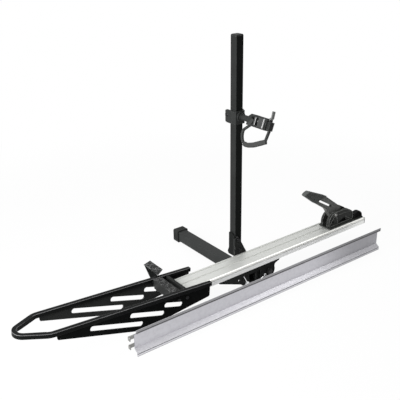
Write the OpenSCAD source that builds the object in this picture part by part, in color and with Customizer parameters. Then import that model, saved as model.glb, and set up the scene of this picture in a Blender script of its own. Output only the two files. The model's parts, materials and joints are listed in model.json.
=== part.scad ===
// Single electric bike rack for a square hitch receiver, with its loading ramp standing beside it.
// +X runs along the wheel tray to the loading end, +Y to the vehicle, +Z up.
// The origin is on the bar's axis, level with the hitch bolt's hole.

/* [Receiver bar] */
// Outside width and height of the square bar
bar_w = 50.8; // [48:0.1:54]
// Wall of the bar
bar_wall = 4.8; // [3:0.1:6.5]
// Outside corner radius of the bar
bar_corner_r = 4; // [1:0.5:5.5]
// Length of the bar from the mast's centre to its front end
bar_front = 118; // [110:1:124]
// Length of the bar from the mast's centre to its vehicle end
bar_back = 455; // [430:1:560]
// Distance from the mast's centre back to the hitch bolt's hole
pin_to_mast = 380; // [300:1:400]
// Bore of the hitch bolt's hole in the bar's right wall
hitch_hole_d = 16; // [12:0.1:18]
// Outside width of the cap on the vehicle end
cap_w = 64; // [60:0.5:70]
// Length of the cap
cap_len = 43; // [30:1:50]
// Thickness of the cap's closed end
cap_end_t = 8; // [4:0.5:12]
// Clearance between the cap and the bar
cap_fit = 0.3; // [0.3:0.05:0.8]

/* [Tilt head] */
// Distance of the tilt pivot from the bar's axis, along the tray
pivot_x = 91.3; // [84:0.1:96]
// Height of the tilt pivot above the bar's axis
pivot_z = 6.7; // [2:0.1:8]
// Diameter of the pivot bolt
pivot_bolt_d = 16; // [12:0.5:18]
// Radial clearance round the pivot bolt
pivot_fit = 0.1; // [0.05:0.01:0.1]
// Outside diameter of the pivot sleeve
sleeve_d = 27; // [24:0.5:32]
// Thickness of the head's two plates
head_plate_t = 6; // [4:0.5:8]
// Radius of the head plates round the pivot
head_r = 33; // [28:0.5:34]
// Lock pin's distance from the bar's axis
lock_x = 46.6; // [42:0.1:52]
// Lock pin's depth below the bar's axis
lock_z = 5.3; // [0:0.1:8]
// Diameter of the lock pin
lock_pin_d = 12; // [10:0.5:14]
// Radial clearance of loose pins and bolts in their holes
pin_clear = 0.35; // [0.3:0.05:0.6]

/* [Tilt bracket] */
// Thickness of the bracket's side plates
plate_t = 6; // [4:0.5:6]
// Thickness of the flange under the tray
flange_t = 7; // [5:0.5:7.5]
// Reach of the bracket under the tray on the cradle side
bracket_left = 199; // [185:1:210]
// Reach of the bracket on the loading side
bracket_right = 156; // [148:1:165]
// Radius of the pivot lobes on the side plates
lobe_r = 36; // [32:0.5:38]
// Highest point of the bracket's face plate on the mast
face_plate_top = 169; // [165:1:185]
// Highest point of the side plate on the mast
side_plate_top = 187; // [184:1:200]

/* [Wheel tray] */
// Width of the tray
tray_w = 105.3; // [100:0.1:107]
// Height of the tray's section
tray_h = 30; // [26:0.5:32]
// Height of the tray's underside above the bar's axis
tray_z = 50; // [48:0.5:53]
// Length of the tray from the mast's centre to the cradle end
tray_left = 383; // [366:1:388]
// Length of the tray from the mast's centre to the loading end
tray_right = 749; // [740:1:900]
// Distance from the mast's centre to the tray's centre line
tray_y = 78.9; // [78:0.1:82]
// Wall of the extrusion
tray_wall = 2.8; // [2:0.1:3.5]
// Width of the raised ridge along each edge
ridge_w = 8; // [6:0.5:12]
// Depth of the running surface below the ridges
tray_floor_drop = 3; // [2:0.5:5]
// Width of the groove down the middle
groove_w = 16; // [12:0.5:22]
// Thickness of the end cap
tray_cap_t = 4; // [2:0.5:5]

/* [Mast] */
// Outside width of the square mast
mast_w = 38.1; // [36:0.1:39]
// Wall of the mast
mast_wall = 2.6; // [2:0.1:4]
// Height of the mast's lower end above the bar's axis
mast_z = 73; // [70:1:78]
// Height of the mast's upper end above the bar's axis
mast_top = 1062; // [1040:1:1200]
// Height of the plug in the mast's upper end
mast_cap_h = 6; // [4:0.5:10]
// Diameter of the mast bolts
mast_bolt_d = 10; // [8:0.5:12]
// Height of the upper mast bolt above the bar's axis
mast_bolt_z = 153; // [150:1:155]
// Spacing of the two mast bolts
mast_bolt_step = 53; // [48:1:56]

/* [Wheel cradle] */
// Outside width and height of the hoop's square tube
rail_w = 18; // [16:0.5:20]
// Distance between the outer faces of the two rails
cradle_w = 170; // [166:1:176]
// Nose-up slope of the cradle
cradle_slope = 4.39; // [3:0.01:5]
// Height of the rails' top over the bar's axis at their root
cradle_z = 94.5; // [92:0.5:97]
// Distance from the mast's centre to the point that the cradle is measured from
cradle_x = 250; // [245:1:255]
// Distance from that point to the rails' free ends
rail_start = 17; // [14:0.5:20]
// Distance from that point to the hoop's first bend
rail_bend = 724; // [715:1:760]
// Radius of the rail's centre line in the first bend
bend_r = 60; // [40:1:80]
// Inward angle of the rails after the bend
bend_angle = 28; // [24:0.5:32]
// Radius of the rail's centre line round the nose
nose_r = 36; // [30:0.5:44]
// Thickness of the side plates
cheek_t = 5; // [3:0.5:6]
// Distance from the point that the cradle is measured from to the side plates' tips
cheek_len = 716; // [706:1:720]
// Distance from that point to the side plates' deepest corner
cheek_low = 352; // [340:1:366]
// Depth of the deepest corner below the rails' top
cheek_depth = 124; // [118:1:130]
// Depth of the side plates at the tray end
cheek_root_depth = 68; // [64:1:74]
// Depth of the side plates at their tips
cheek_tip_depth = 38; // [34:1:42]
// Height of the slots in the side plates
slot_h = 22; // [16:0.5:24]
// Slope of the slots
slot_angle = 13.5; // [10:0.5:15]
// Length of the long slot
long_slot_len = 232; // [200:1:240]
// Distance from the tray end's measuring point to the long slot
long_slot_at = 351; // [345:1:365]
// Depth of the long slot's middle line, at its near end
long_slot_depth = 92.5; // [90:0.1:94]
// Length of the middle slot
mid_slot_len = 160; // [140:1:164]
// Distance from that point to the middle slot
mid_slot_at = 250; // [244:1:256]
// Depth of the middle slot's middle line, at its near end
mid_slot_depth = 76.9; // [75:0.1:78]
// Length of the short slot
short_slot_len = 89; // [80:1:92]
// Distance from that point to the short slot
short_slot_at = 161; // [158:1:166]
// Depth of the short slot's middle line, at its near end
short_slot_depth = 63.2; // [62:0.1:65]
// Width of the ribbed cross band
band_w = 40; // [36:1:44]
// Depth of the apron under the cross band
apron_depth = 46; // [42:1:54]
// Sheet thickness of the band, apron and wing
sheet_t = 3; // [2:0.5:4]
// Reach of the side wing past the far rail
wing_reach = 118; // [90:1:140]
// Distance from the point that the cradle is measured from to the side wing
wing_s = 138; // [134:1:142]
// Drop of the wing's brace to its foot on the far side plate
brace_drop = 76; // [72:0.5:78]
// Width of the side wing
wing_w = 44; // [36:1:48]
// Height of the wing's top over the rail
wing_rise = 10; // [6:0.5:14]
// Diameter of the cradle bolts
cradle_bolt_d = 8; // [6:0.5:10]

/* [Frame clamp] */
// Height of the arm above the bar's axis
arm_z = 731; // [600:1:900]
// Diameter of the arm
arm_d = 24; // [20:0.5:28]
// Length of the arm from the mast's centre
arm_reach = 86; // [82:1:95]
// Height of the collar
collar_h = 56; // [50:1:64]
// Wall of the collar
collar_wall = 6; // [5:0.5:9]
// Clearance between the collar and the mast
collar_fit = 0.4; // [0.3:0.05:0.8]
// Reach of the collar's ears behind the mast's centre
ear_reach = 46; // [43:0.5:52]
// Radius of the ears' corners
ear_round = 13; // [6:0.5:16]
// Diameter of the clamp bolt
clamp_bolt_d = 8; // [6:0.5:9]
// Diameter of the clamp knob
knob_d = 28; // [24:0.5:32]
// Turn of the buckle head about the arm
head_turn = 21; // [0:1:30]
// Length of the buckle head
head_len = 112; // [108:1:124]
// Height of the buckle head
head_h = 49; // [46:0.5:54]
// Thickness of the buckle head
head_t = 32; // [28:0.5:36]
// Width of the strap
strap_w = 11; // [9:0.5:16]
// Thickness of the strap
strap_t = 7.5; // [5:0.5:8]
// Thickness of the pad under the frame tube
pad_t = 18; // [14:0.5:20]

/* [Wheel clamp] */
// Distance from the tray's loading end back to the lever's pivot
clamp_back = 194; // [186:1:206]
// Height of the lever's pivot above the bar's axis
clamp_z = 143; // [141:1:146]
// Width over the clamp's two cheeks
clamp_w = 52; // [48:1:60]
// Thickness of the clamp's cheeks
clamp_cheek_t = 5; // [4:0.5:6]
// Thickness of the clamp's foot
foot_t = 4.5; // [3:0.5:6]
// Width of the clamp's foot
foot_w = 74; // [64:1:78]
// Radius of the toothed drum
drum_r = 56; // [53:0.5:58]
// Thickness of each half of the drum
drum_t = 9; // [7:0.5:11]
// Number of teeth on the drum
drum_teeth = 15; // [10:1:20]
// Diameter of the lever's pivot bolt
lever_bolt_d = 10; // [8:0.5:12]
// Length of the lever from its pivot to the end of its grip
lever_len = 264; // [256:1:284]
// Length of the grip along the lever's lower edge
grip_len = 106; // [98:1:114]
// Width of the grip across the lever
grip_w = 26; // [22:0.5:30]
// Height of the slot through the lever
lever_slot_h = 9; // [7:0.5:14]
// Radius of the end block
end_block_r = 35; // [28:0.5:38]
// Width of the end block
end_block_w = 22; // [14:0.5:30]

/* [Loading ramp] */
// Length of the ramp
ramp_len = 1410; // [1300:1:1500]
// Width of the ramp over its rims
ramp_w = 118; // [110:1:130]
// Width of the ramp's flat floor
ramp_floor_w = 64; // [60:1:70]
// Depth of the ramp's sides
ramp_depth = 18; // [14:0.5:22]
// Height of the rims at the top of the sides
ramp_rim = 14; // [8:0.5:16]
// Thickness of the ramp
ramp_t = 3; // [2:0.5:4]
// Width of the groove along each rim
ramp_groove_w = 3; // [2:0.5:4]
// Depth of the groove along each rim
ramp_groove_depth = 1.2; // [0.6:0.1:1.6]
// Depth of the ground under the bar's axis
ground_z = 40; // [38:1:60]
// Distance from the mast's centre to the ramp's hooked end
ramp_x = 690; // [680:1:700]
// Distance from the mast's centre to the ramp's floor at the hooked end
ramp_y = 222; // [218:1:240]
// Reach of the ramp's hooks
hook_reach = 24; // [18:1:30]

/* [Hidden] */
$fn = 48;

painted = [0.13, 0.13, 0.135];
dark_paint = [0.09, 0.09, 0.095];
bar_paint = [0.24, 0.245, 0.25];
plastic_black = [0.16, 0.16, 0.165];
alloy = [0.8, 0.8, 0.77];
ramp_alloy = [0.72, 0.72, 0.77];
zinc = [0.78, 0.79, 0.8];
grey_nylon = [0.45, 0.46, 0.46];
rubber = [0.2, 0.2, 0.2];

cut = 1;
half_bar = bar_w / 2;
clamp_x = tray_right - clamp_back;
half_mast = mast_w / 2;
face_gap = 0.5;

// Places worked out from the sizes above
tray_near = -tray_y - tray_w / 2;
tray_far = -tray_y + tray_w / 2;
tray_top = tray_z + tray_h;
tray_run = tray_top - tray_floor_drop;
far_plate_back = -half_mast;
far_plate_front = far_plate_back - plate_t;
near_plate_front = tray_near + 0.5;
near_plate_back = near_plate_front + plate_t;
head_near_front = -bar_front;
head_far_front = far_plate_front - 7 - head_plate_t;
cheek_half = cradle_w / 2 - rail_w / 2;

// Everything is drawn from the mast's centre, and this moves it to the hitch bolt's hole
module placed() {
    translate([0, -pin_to_mast, 0]) children();
}

// Square with round corners
module round_rect(w, h, r) {
    square([w - 2 * r, h], center = true);
    square([w, h - 2 * r], center = true);
    for (sx = [-1, 1], sy = [-1, 1])
        translate([sx * (w / 2 - r), sy * (h / 2 - r)]) circle(r);
}

// Outline in the plane of X and Z, made solid from y0 to y1
module slab_y(y0, y1) {
    translate([0, y1, 0]) rotate([90, 0, 0]) linear_extrude(y1 - y0) children();
}

// Outline in the plane of Y and Z, made solid from x0 to x1
module slab_x(x0, x1) {
    translate([x0, 0, 0]) rotate([90, 0, 90]) linear_extrude(x1 - x0) children();
}

module rod_y(x, z, y0, y1, d) {
    translate([x, y1, z]) rotate([90, 0, 0]) cylinder(h = y1 - y0, d = d);
}

module rod_x(y, z, x0, x1, d) {
    translate([x0, y, z]) rotate([0, 90, 0]) cylinder(h = x1 - x0, d = d);
}

module hex_y(x, z, y0, y1, across) {
    translate([x, y1, z]) rotate([90, 0, 0]) cylinder(h = y1 - y0, d = across / cos(30), $fn = 6);
}

module hex_x(y, z, x0, x1, across) {
    translate([x0, y, z]) rotate([0, 90, 0]) cylinder(h = x1 - x0, d = across / cos(30), $fn = 6);
}

// Slot with round ends between two points of a flat outline
module slot(a, b, h) {
    run = norm(b - a) - h;
    tilt = atan2(b[1] - a[1], b[0] - a[0]);
    translate((a + b) / 2) rotate(tilt) {
        square([run, h], center = true);
        for (s = [-1, 1]) translate([s * run / 2, 0]) circle(d = h);
    }
}

// Points round an arc about c
function arc(c, r, a0, a1, n = 10) =
    [for (i = [0 : n]) c + r * [cos(a0 + (a1 - a0) * i / n), sin(a0 + (a1 - a0) * i / n)]];

// Arc that rounds the corner p between its neighbours
function unit(v) = v / norm(v);
function corner(a, p, b, r, n = 8) =
    let (
        u = unit(a - p),
        v = unit(b - p),
        half = acos(u * v) / 2,
        centre = p + unit(u + v) * r / sin(half),
        from = p + u * r / tan(half) - centre,
        to = p + v * r / tan(half) - centre,
        a0 = atan2(from[1], from[0]),
        step = atan2(from[0] * to[1] - from[1] * to[0], from * to)
    )
    [for (i = [0 : n]) centre + r * [cos(a0 + step * i / n), sin(a0 + step * i / n)]];

// Path through points, with every inner corner rounded
function rounded_path(p, r) = concat(
    [p[0]],
    [for (i = [1 : len(p) - 2]) each corner(p[i - 1], p[i], p[i + 1], r[i - 1])],
    [p[len(p) - 1]]
);

// Strip of a given thickness along a path
function path_normal(p, i) =
    let (
        a = p[max(i - 1, 0)],
        b = p[min(i + 1, len(p) - 1)],
        d = unit(b - a)
    )
    [-d[1], d[0]];
function strip(p, t) = concat(
    [for (i = [0 : len(p) - 1]) p[i] + path_normal(p, i) * t / 2],
    [for (i = [len(p) - 1 : -1 : 0]) p[i] - path_normal(p, i) * t / 2]
);

/* Receiver bar and its cap */

module receiver_bar() {
    color(bar_paint) placed()
    difference() {
        translate([0, bar_back, 0]) rotate([90, 0, 0]) linear_extrude(bar_front + bar_back)
            difference() {
                round_rect(bar_w, bar_w, bar_corner_r);
                square(bar_w - 2 * bar_wall, center = true);
            }
        rod_x(pin_to_mast, 0, half_bar - bar_wall - cut, half_bar + cut, hitch_hole_d);
    }
}

module receiver_cap() {
    cap_mouth = bar_back - cap_len + cap_end_t;
    socket = bar_w + 2 * cap_fit;
    color(plastic_black) placed()
    difference() {
        union() {
            translate([0, bar_back + cap_end_t - 4, 0]) rotate([90, 0, 0])
                linear_extrude(cap_len - 4) round_rect(cap_w, cap_w, 8);
            translate([0, bar_back + cap_end_t, 0]) rotate([90, 0, 0])
                linear_extrude(4) round_rect(cap_w - 6, cap_w - 6, 6);
        }
        translate([0, bar_back, 0]) rotate([90, 0, 0])
            linear_extrude(bar_back - cap_mouth + cut) round_rect(socket, socket, bar_corner_r);
    }
}

/* Tilt head on the bar */

// Plate round the bar, with the pivot's lobe, the pin's notch and the stop's curved slot
module head_outline(lock) {
    saddle_top = 14;
    saddle_w = lock_pin_d + 3;
    difference() {
        union() {
            translate([pivot_x, pivot_z]) circle(head_r, $fn = 96);
            translate([-lock_x, -lock_z]) circle(20);
            polygon([
                [-lock_x, -lock_z - 20], [-half_bar, -38], [half_bar + 8, -38], [pivot_x, pivot_z - head_r],
                [pivot_x, pivot_z + head_r], [half_bar, 37], [-half_bar, 37], [-lock_x, saddle_top]
            ]);
        }
        square(bar_w, center = true);
        translate([pivot_x, pivot_z]) circle(d = sleeve_d);
        // The pin sits in a notch, open along the path that it takes when the rack tilts
        if (lock)
            translate([-lock_x - saddle_w / 2, -lock_z - saddle_w / 2]) square([saddle_w, 60]);
    }
}

stop_x = 62;
stop_z = -1;
stop_d = 7;
tilt_range = 22;

module head_plate_near() {
    arm = [stop_x - pivot_x, stop_z - pivot_z];
    stop_r = norm(arm);
    start = atan2(arm[1], arm[0]);
    color(dark_paint) placed()
    difference() {
        slab_y(head_near_front, head_near_front + head_plate_t) head_outline(true);
        // The stop pin's nose runs here
        slab_y(head_near_front - cut, head_near_front + head_plate_t + cut)
            translate([pivot_x, pivot_z]) {
                polygon(concat(
                    arc([0, 0], stop_r + stop_d / 2 + pin_clear, start, start - tilt_range),
                    arc([0, 0], stop_r - stop_d / 2 - pin_clear, start - tilt_range, start)
                ));
                for (a = [start, start - tilt_range])
                    rotate(a) translate([stop_r, 0]) circle(d = stop_d + 2 * pin_clear);
            }
    }
}

module head_plate_far() {
    color(dark_paint) placed()
    slab_y(head_far_front, head_far_front + head_plate_t) head_outline(false);
}

module pivot_sleeve() {
    color(dark_paint) placed()
    difference() {
        rod_y(pivot_x, pivot_z, near_plate_back + face_gap, far_plate_front - face_gap, sleeve_d);
        rod_y(pivot_x, pivot_z, near_plate_back - cut, far_plate_front + cut, pivot_bolt_d + 2 * pivot_fit);
    }
}

/* Tilt bracket under the tray */

// Lower edge shared by both side plates: lock pin's lug, notch over the bar, pivot's lobe
function bracket_edge() = concat(
    [
        [-bracket_left, tray_z - flange_t], [-30, -22], [-30, 30], [40, 30],
        [40, pivot_z - lobe_r]
    ],
    arc([pivot_x, pivot_z], lobe_r, -90, 22, 12),
    corner([pivot_x + lobe_r, pivot_z + 6], [pivot_x + lobe_r - 2, 33],
        [bracket_right - 3, tray_z - flange_t], 9),
    [[bracket_right - 3, tray_z - flange_t], [bracket_right, tray_z]]
);

module pivot_hole() {
    translate([pivot_x, pivot_z]) circle(d = pivot_bolt_d + 2 * pin_clear);
}

module bracket_near_plate() {
    color(painted) placed()
    slab_y(near_plate_front, near_plate_back)
        difference() {
            polygon(concat([[-bracket_left, tray_z]], bracket_edge()));
            pivot_hole();
            translate([-lock_x, -lock_z]) circle(d = lock_pin_d + 2 * pin_clear);
            translate([stop_x, stop_z]) circle(d = stop_d);
            translate([-88.6, 19.6]) circle(d = 10);
        }
}

module bracket_far_plate() {
    corner_x = -half_mast - plate_t;
    color(painted) placed()
    slab_y(far_plate_front, far_plate_back)
        difference() {
            polygon(concat(
                [[-60, tray_z], [corner_x, mast_z + 2], [corner_x, face_plate_top - 6],
                    [-7, face_plate_top], [14, face_plate_top - 32], [44, tray_top], [62, tray_z],
                    [bracket_right, tray_z]],
                [for (i = [len(bracket_edge()) - 2 : -1 : 0]) bracket_edge()[i]],
                [[-bracket_left, tray_z]]
            ));
            pivot_hole();
            mast_bolt_places() circle(d = mast_bolt_d + 2 * pin_clear);
        }
}

module bracket_flange() {
    color(painted) placed()
    difference() {
        translate([-bracket_left + 2, near_plate_back, tray_z - flange_t])
            cube([bracket_left + bracket_right - 6, far_plate_front - near_plate_back, flange_t]);
        for (x = flange_bolt_x)
            translate([x, -tray_y, tray_z - flange_t - cut])
                cylinder(h = flange_t + 2 * cut, d = cradle_bolt_d + 2 * pin_clear);
    }
}

flange_bolt_x = [-160, -70, 60, 130];
bolt_head_h = 5;

module bracket_bolts() {
    nut_h = 6;
    color(zinc) placed()
    for (x = flange_bolt_x) translate([x, -tray_y, 0]) {
        translate([0, 0, tray_z - flange_t - bolt_head_h])
            cylinder(h = bolt_head_h, d = 13 / cos(30), $fn = 6);
        translate([0, 0, tray_z - flange_t]) cylinder(h = flange_t + tray_wall + 1, d = cradle_bolt_d);
        translate([0, 0, tray_z + tray_wall]) cylinder(h = nut_h, d = 13 / cos(30), $fn = 6);
    }
}

module pivot_bolt() {
    color(zinc) placed() {
        hex_y(pivot_x, pivot_z, near_plate_front - 10, near_plate_front, 24);
        rod_y(pivot_x, pivot_z, near_plate_front - cut, far_plate_back + 16, pivot_bolt_d);
    }
}

module pivot_nut() {
    color(zinc) placed()
    difference() {
        hex_y(pivot_x, pivot_z, far_plate_back, far_plate_back + 13, 24);
        rod_y(pivot_x, pivot_z, far_plate_back - cut, far_plate_back + 14, pivot_bolt_d + 0.02);
    }
}

lock_head_y = near_plate_front - 10;
lock_wire_d = 4;

// Short pin through the near side plate and the head's near plate
module lock_pin() {
    nose_len = 3;
    nose_y = head_near_front + head_plate_t + 12 - nose_len;
    color(zinc) placed() {
        rod_y(-lock_x, -lock_z, near_plate_front - 0.5, nose_y + 0.01, lock_pin_d);
        translate([-lock_x, nose_y, -lock_z]) rotate([-90, 0, 0])
            cylinder(h = nose_len, d1 = lock_pin_d, d2 = lock_pin_d - 5);
        rod_y(-lock_x, -lock_z, lock_head_y, near_plate_front - 0.4, 19);
    }
}

// Wire handle on the pin's head, up beside the tray and out along the bracket
module pin_handle() {
    y = lock_head_y - lock_wire_d / 2;
    color(zinc) placed() {
        wire_tube([
            [-71, y + 2, 41], [-65, y - 1, 28], [-56, y - 2, 10], [-50, y - 1, -2], [-lock_x, y, -lock_z - 3],
            [-40, y, -12], [-30, y - 1, -14], [-12, y - 1, -12], [12, y, -9], [34, y, -5], [46, y + 2, -2]
        ], lock_wire_d);
    }
}

// Round wire through points that all run near the plane of X and Z
module wire_tube(p, d, sides = 8) {
    n = len(p);
    polyhedron(
        points = [
            for (i = [0 : n - 1], k = [0 : sides - 1])
                let (
                    t = unit(p[min(i + 1, n - 1)] - p[max(i - 1, 0)]),
                    u = unit(cross(t, [0, 1, 0])),
                    v = cross(t, u),
                    a = 360 * k / sides
                )
                p[i] + (u * cos(a) + v * sin(a)) * d / 2
        ],
        faces = concat(
            [[for (k = [0 : sides - 1]) k]],
            [for (i = [0 : n - 2], k = [0 : sides - 1]) let (m = (k + 1) % sides)
                each [[i * sides + k, (i + 1) * sides + k, (i + 1) * sides + m],
                    [i * sides + k, (i + 1) * sides + m, i * sides + m]]],
            [[for (k = [sides - 1 : -1 : 0]) (n - 1) * sides + k]]
        )
    );
}

module stop_pin() {
    color(zinc) placed() {
        rod_y(stop_x, stop_z, near_plate_front - 24, head_near_front + head_plate_t, stop_d);
        rod_y(stop_x, stop_z, near_plate_front - 7, near_plate_front, 12);
    }
}

/* Wheel tray */

// Section of the extrusion, across its width and height, measured from its underside's centre
module tray_section() {
    web = tray_wall;
    side = tray_w / 2;
    floor_z = tray_h - tray_floor_drop;
    groove_z = floor_z - 3;
    chamber = (tray_w - groove_w) / 2 - 2 * web;
    difference() {
        translate([-side, 0]) square([tray_w, tray_h]);
        // Running surface between the ridges, and the groove down its middle
        translate([-side + ridge_w, floor_z]) square([tray_w - 2 * ridge_w, tray_floor_drop + cut]);
        translate([-groove_w / 2, groove_z]) square([groove_w, tray_floor_drop + 3 + cut]);
        for (s = [-1, 1]) {
            // Line rolled into each side face
            translate([s * side, tray_h - 10]) square([2.4, 3], center = true);
            // Long hollow on each side of the groove
            translate([s * (groove_w / 2 + web + chamber / 2), floor_z / 2])
                square([chamber, floor_z - 2 * web], center = true);
        }
        // Bolt channel under the groove, open below
        translate([-groove_w / 2 - 1, web]) square([groove_w + 2, groove_z - 2 * web]);
        translate([-cradle_bolt_d / 2 - pin_clear, -cut])
            square([cradle_bolt_d + 2 * pin_clear, web + 2 * cut]);
    }
}

module wheel_tray() {
    corner_r = 12;
    color(alloy) placed()
    difference() {
        translate([0, -tray_y, tray_z]) slab_x(-tray_left, tray_right) tray_section();
        // Rounded near corner at the cradle end
        translate([-tray_left, tray_near, tray_z - cut])
            difference() {
                translate([-cut, -cut, 0]) cube([corner_r + cut, corner_r + cut, tray_h + 2 * cut]);
                translate([corner_r, corner_r, -cut]) cylinder(h = tray_h + 4 * cut, r = corner_r);
            }
        // Drain slot in the running surface
        translate([-302, -88, tray_run - tray_wall - cut])
            linear_extrude(tray_wall + 2 * cut) slot([-12, 0], [12, 0], 7);
    }
}

module tray_end_cap() {
    color(plastic_black) placed()
    translate([tray_right, -tray_y - tray_w / 2, tray_z])
        cube([tray_cap_t, tray_w, tray_h]);
}

// Flat bar across the cradle, against the end of the tray
end_bar_t = 12;
end_bar_low_h = 33;
end_bar_h = 50;

module tray_end_bar() {
    low_w = 2 * cheek_half - cheek_t;
    top_w = 2 * cheek_half - rail_w - 1;
    color(dark_paint) difference() {
        placed() union() {
            translate([-tray_left - end_bar_t, -tray_y - low_w / 2, tray_z])
                cube([end_bar_t, low_w, end_bar_low_h]);
            translate([-tray_left - end_bar_t, -tray_y - top_w / 2, tray_z])
                cube([end_bar_t, top_w, end_bar_h]);
        }
        in_cradle() rod_y(-bolt_s[0], -bolt_d, -cradle_w, cradle_w, cradle_bolt_d + 2 * pin_clear);
    }
}

/* Mast */

module mast_bolt_places() {
    for (i = [0, 1]) translate([-4 + 7 * i, mast_bolt_z - i * mast_bolt_step]) children();
}

module mast() {
    color(painted) placed()
    difference() {
        translate([0, 0, mast_z]) linear_extrude(mast_top - mast_z) difference() {
            round_rect(mast_w, mast_w, 3);
            square(mast_w - 2 * mast_wall, center = true);
        }
        slab_y(-half_mast - cut, half_mast + cut)
            mast_bolt_places() circle(d = mast_bolt_d + 2 * pin_clear);
    }
}

module mast_cap() {
    plug_w = mast_w - 2 * mast_wall - 0.6;
    color(plastic_black) placed() {
        translate([0, 0, mast_top]) linear_extrude(mast_cap_h - 2) round_rect(mast_w, mast_w, 4);
        translate([0, 0, mast_top + mast_cap_h - 2.01]) linear_extrude(2) round_rect(mast_w - 4, mast_w - 4, 3);
        translate([0, 0, mast_top - 15]) linear_extrude(15.01) round_rect(plug_w, plug_w, 2);
    }
}

// Plate on the mast's cradle side, with a foot that flares towards the vehicle
module mast_side_plate() {
    front = far_plate_back;
    color(painted) placed()
    slab_x(-half_mast - plate_t, -half_mast)
        polygon(concat(
            [[front, mast_z + 1], [20, mast_z + 1], [27, mast_z + 12], [half_mast - 1, mast_z + 34]],
            corner([half_mast - 1, mast_z + 34], [half_mast - 1, side_plate_top], [front, side_plate_top], 6),
            corner([half_mast - 1, side_plate_top], [front, side_plate_top], [front, mast_z], 20)
        ));
}

module mast_bolts() {
    color(zinc) placed()
    for (i = [0, 1]) {
        x = -4 + 7 * i;
        z = mast_bolt_z - i * mast_bolt_step;
        hex_y(x, z, far_plate_front - 6, far_plate_front, 16);
        rod_y(x, z, far_plate_front - 0.01, half_mast + 14, mast_bolt_d);
    }
}

module mast_nuts() {
    color(zinc) placed()
    for (i = [0, 1]) {
        x = -4 + 7 * i;
        z = mast_bolt_z - i * mast_bolt_step;
        difference() {
            hex_y(x, z, half_mast, half_mast + 9, 16);
            rod_y(x, z, half_mast - cut, half_mast + 10, mast_bolt_d + 0.02);
        }
    }
}

/* Wheel cradle, in its own frame: -X along the rails, Z down from their top */

module in_cradle() {
    placed() translate([-cradle_x, -tray_y, cradle_z]) rotate([0, cradle_slope, 0]) children();
}

module rail_square() {
    square(rail_w, center = true);
}

// Half of the hoop, drawn on the side where s is 1 or -1
module hoop_half() {
    t0 = cheek_half;
    drop = bend_r * (1 - cos(bend_angle));
    nose_t = nose_r * cos(bend_angle);
    leg = (t0 - drop - nose_t) / sin(bend_angle);
    lap = 0.4;
    union() {
        translate([-rail_bend - lap, t0 - rail_w / 2, -rail_w])
            cube([rail_bend + lap - rail_start, rail_w, rail_w]);
        translate([-rail_bend, t0 - bend_r, -rail_w / 2]) rotate([0, 0, 90])
            rotate_extrude(angle = bend_angle, $fn = 96) translate([bend_r, 0]) rail_square();
        translate([-rail_bend - bend_r * sin(bend_angle), t0 - drop, -rail_w / 2])
            rotate([0, 0, 180 + bend_angle]) translate([-lap, -rail_w / 2, -rail_w / 2])
                cube([leg + 2 * lap, rail_w, rail_w]);
    }
}

function nose_s() =
    let (
        drop = bend_r * (1 - cos(bend_angle)),
        leg = (cheek_half - drop - nose_r * cos(bend_angle)) / sin(bend_angle)
    )
    rail_bend + bend_r * sin(bend_angle) + leg * cos(bend_angle) - nose_r * sin(bend_angle);

module cradle_hoop() {
    color(painted) in_cradle() union() {
        hoop_half();
        mirror([0, 1, 0]) hoop_half();
        translate([-nose_s(), 0, -rail_w / 2]) rotate([0, 0, 90 + bend_angle])
            rotate_extrude(angle = 180 - 2 * bend_angle, $fn = 96) translate([nose_r, 0]) rail_square();
    }
}

// Slot of the side plates: its place along the rail, its length, and its depth at its near end
module cheek_slot(at, len, depth) {
    slot([-at - len, -depth + len * tan(slot_angle)], [-at, -depth], slot_h);
}

band_s = 170;
bolt_s = [(tray_left + end_bar_t / 2 - cradle_x) / cos(cradle_slope), 180];
bolt_d = 39;

module cheek_outline() {
    tip = [-cheek_len + 3, -cheek_tip_depth];
    low = [-cheek_low, -cheek_depth];
    root = [-rail_start - 3, -cheek_root_depth];
    difference() {
        polygon(concat(
            [[-cheek_len, -rail_w]],
            corner([-cheek_len, -rail_w], tip, low, 5),
            corner(tip, low, root, 10),
            corner(low, root, [root[0], -rail_w], 8),
            [[root[0], -rail_w]]
        ));
        cheek_slot(long_slot_at, long_slot_len, long_slot_depth);
        cheek_slot(mid_slot_at, mid_slot_len, mid_slot_depth);
        cheek_slot(short_slot_at, short_slot_len, short_slot_depth);
        for (s = bolt_s) translate([-s, -bolt_d]) circle(d = cradle_bolt_d + 2 * pin_clear);
    }
}

module cradle_near_cheek() {
    color(painted) in_cradle()
    slab_y(-cheek_half - cheek_t / 2, -cheek_half + cheek_t / 2) cheek_outline();
}

module cradle_far_cheek() {
    color(painted) in_cradle()
    slab_y(cheek_half - cheek_t / 2, cheek_half + cheek_t / 2) cheek_outline();
}

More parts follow.
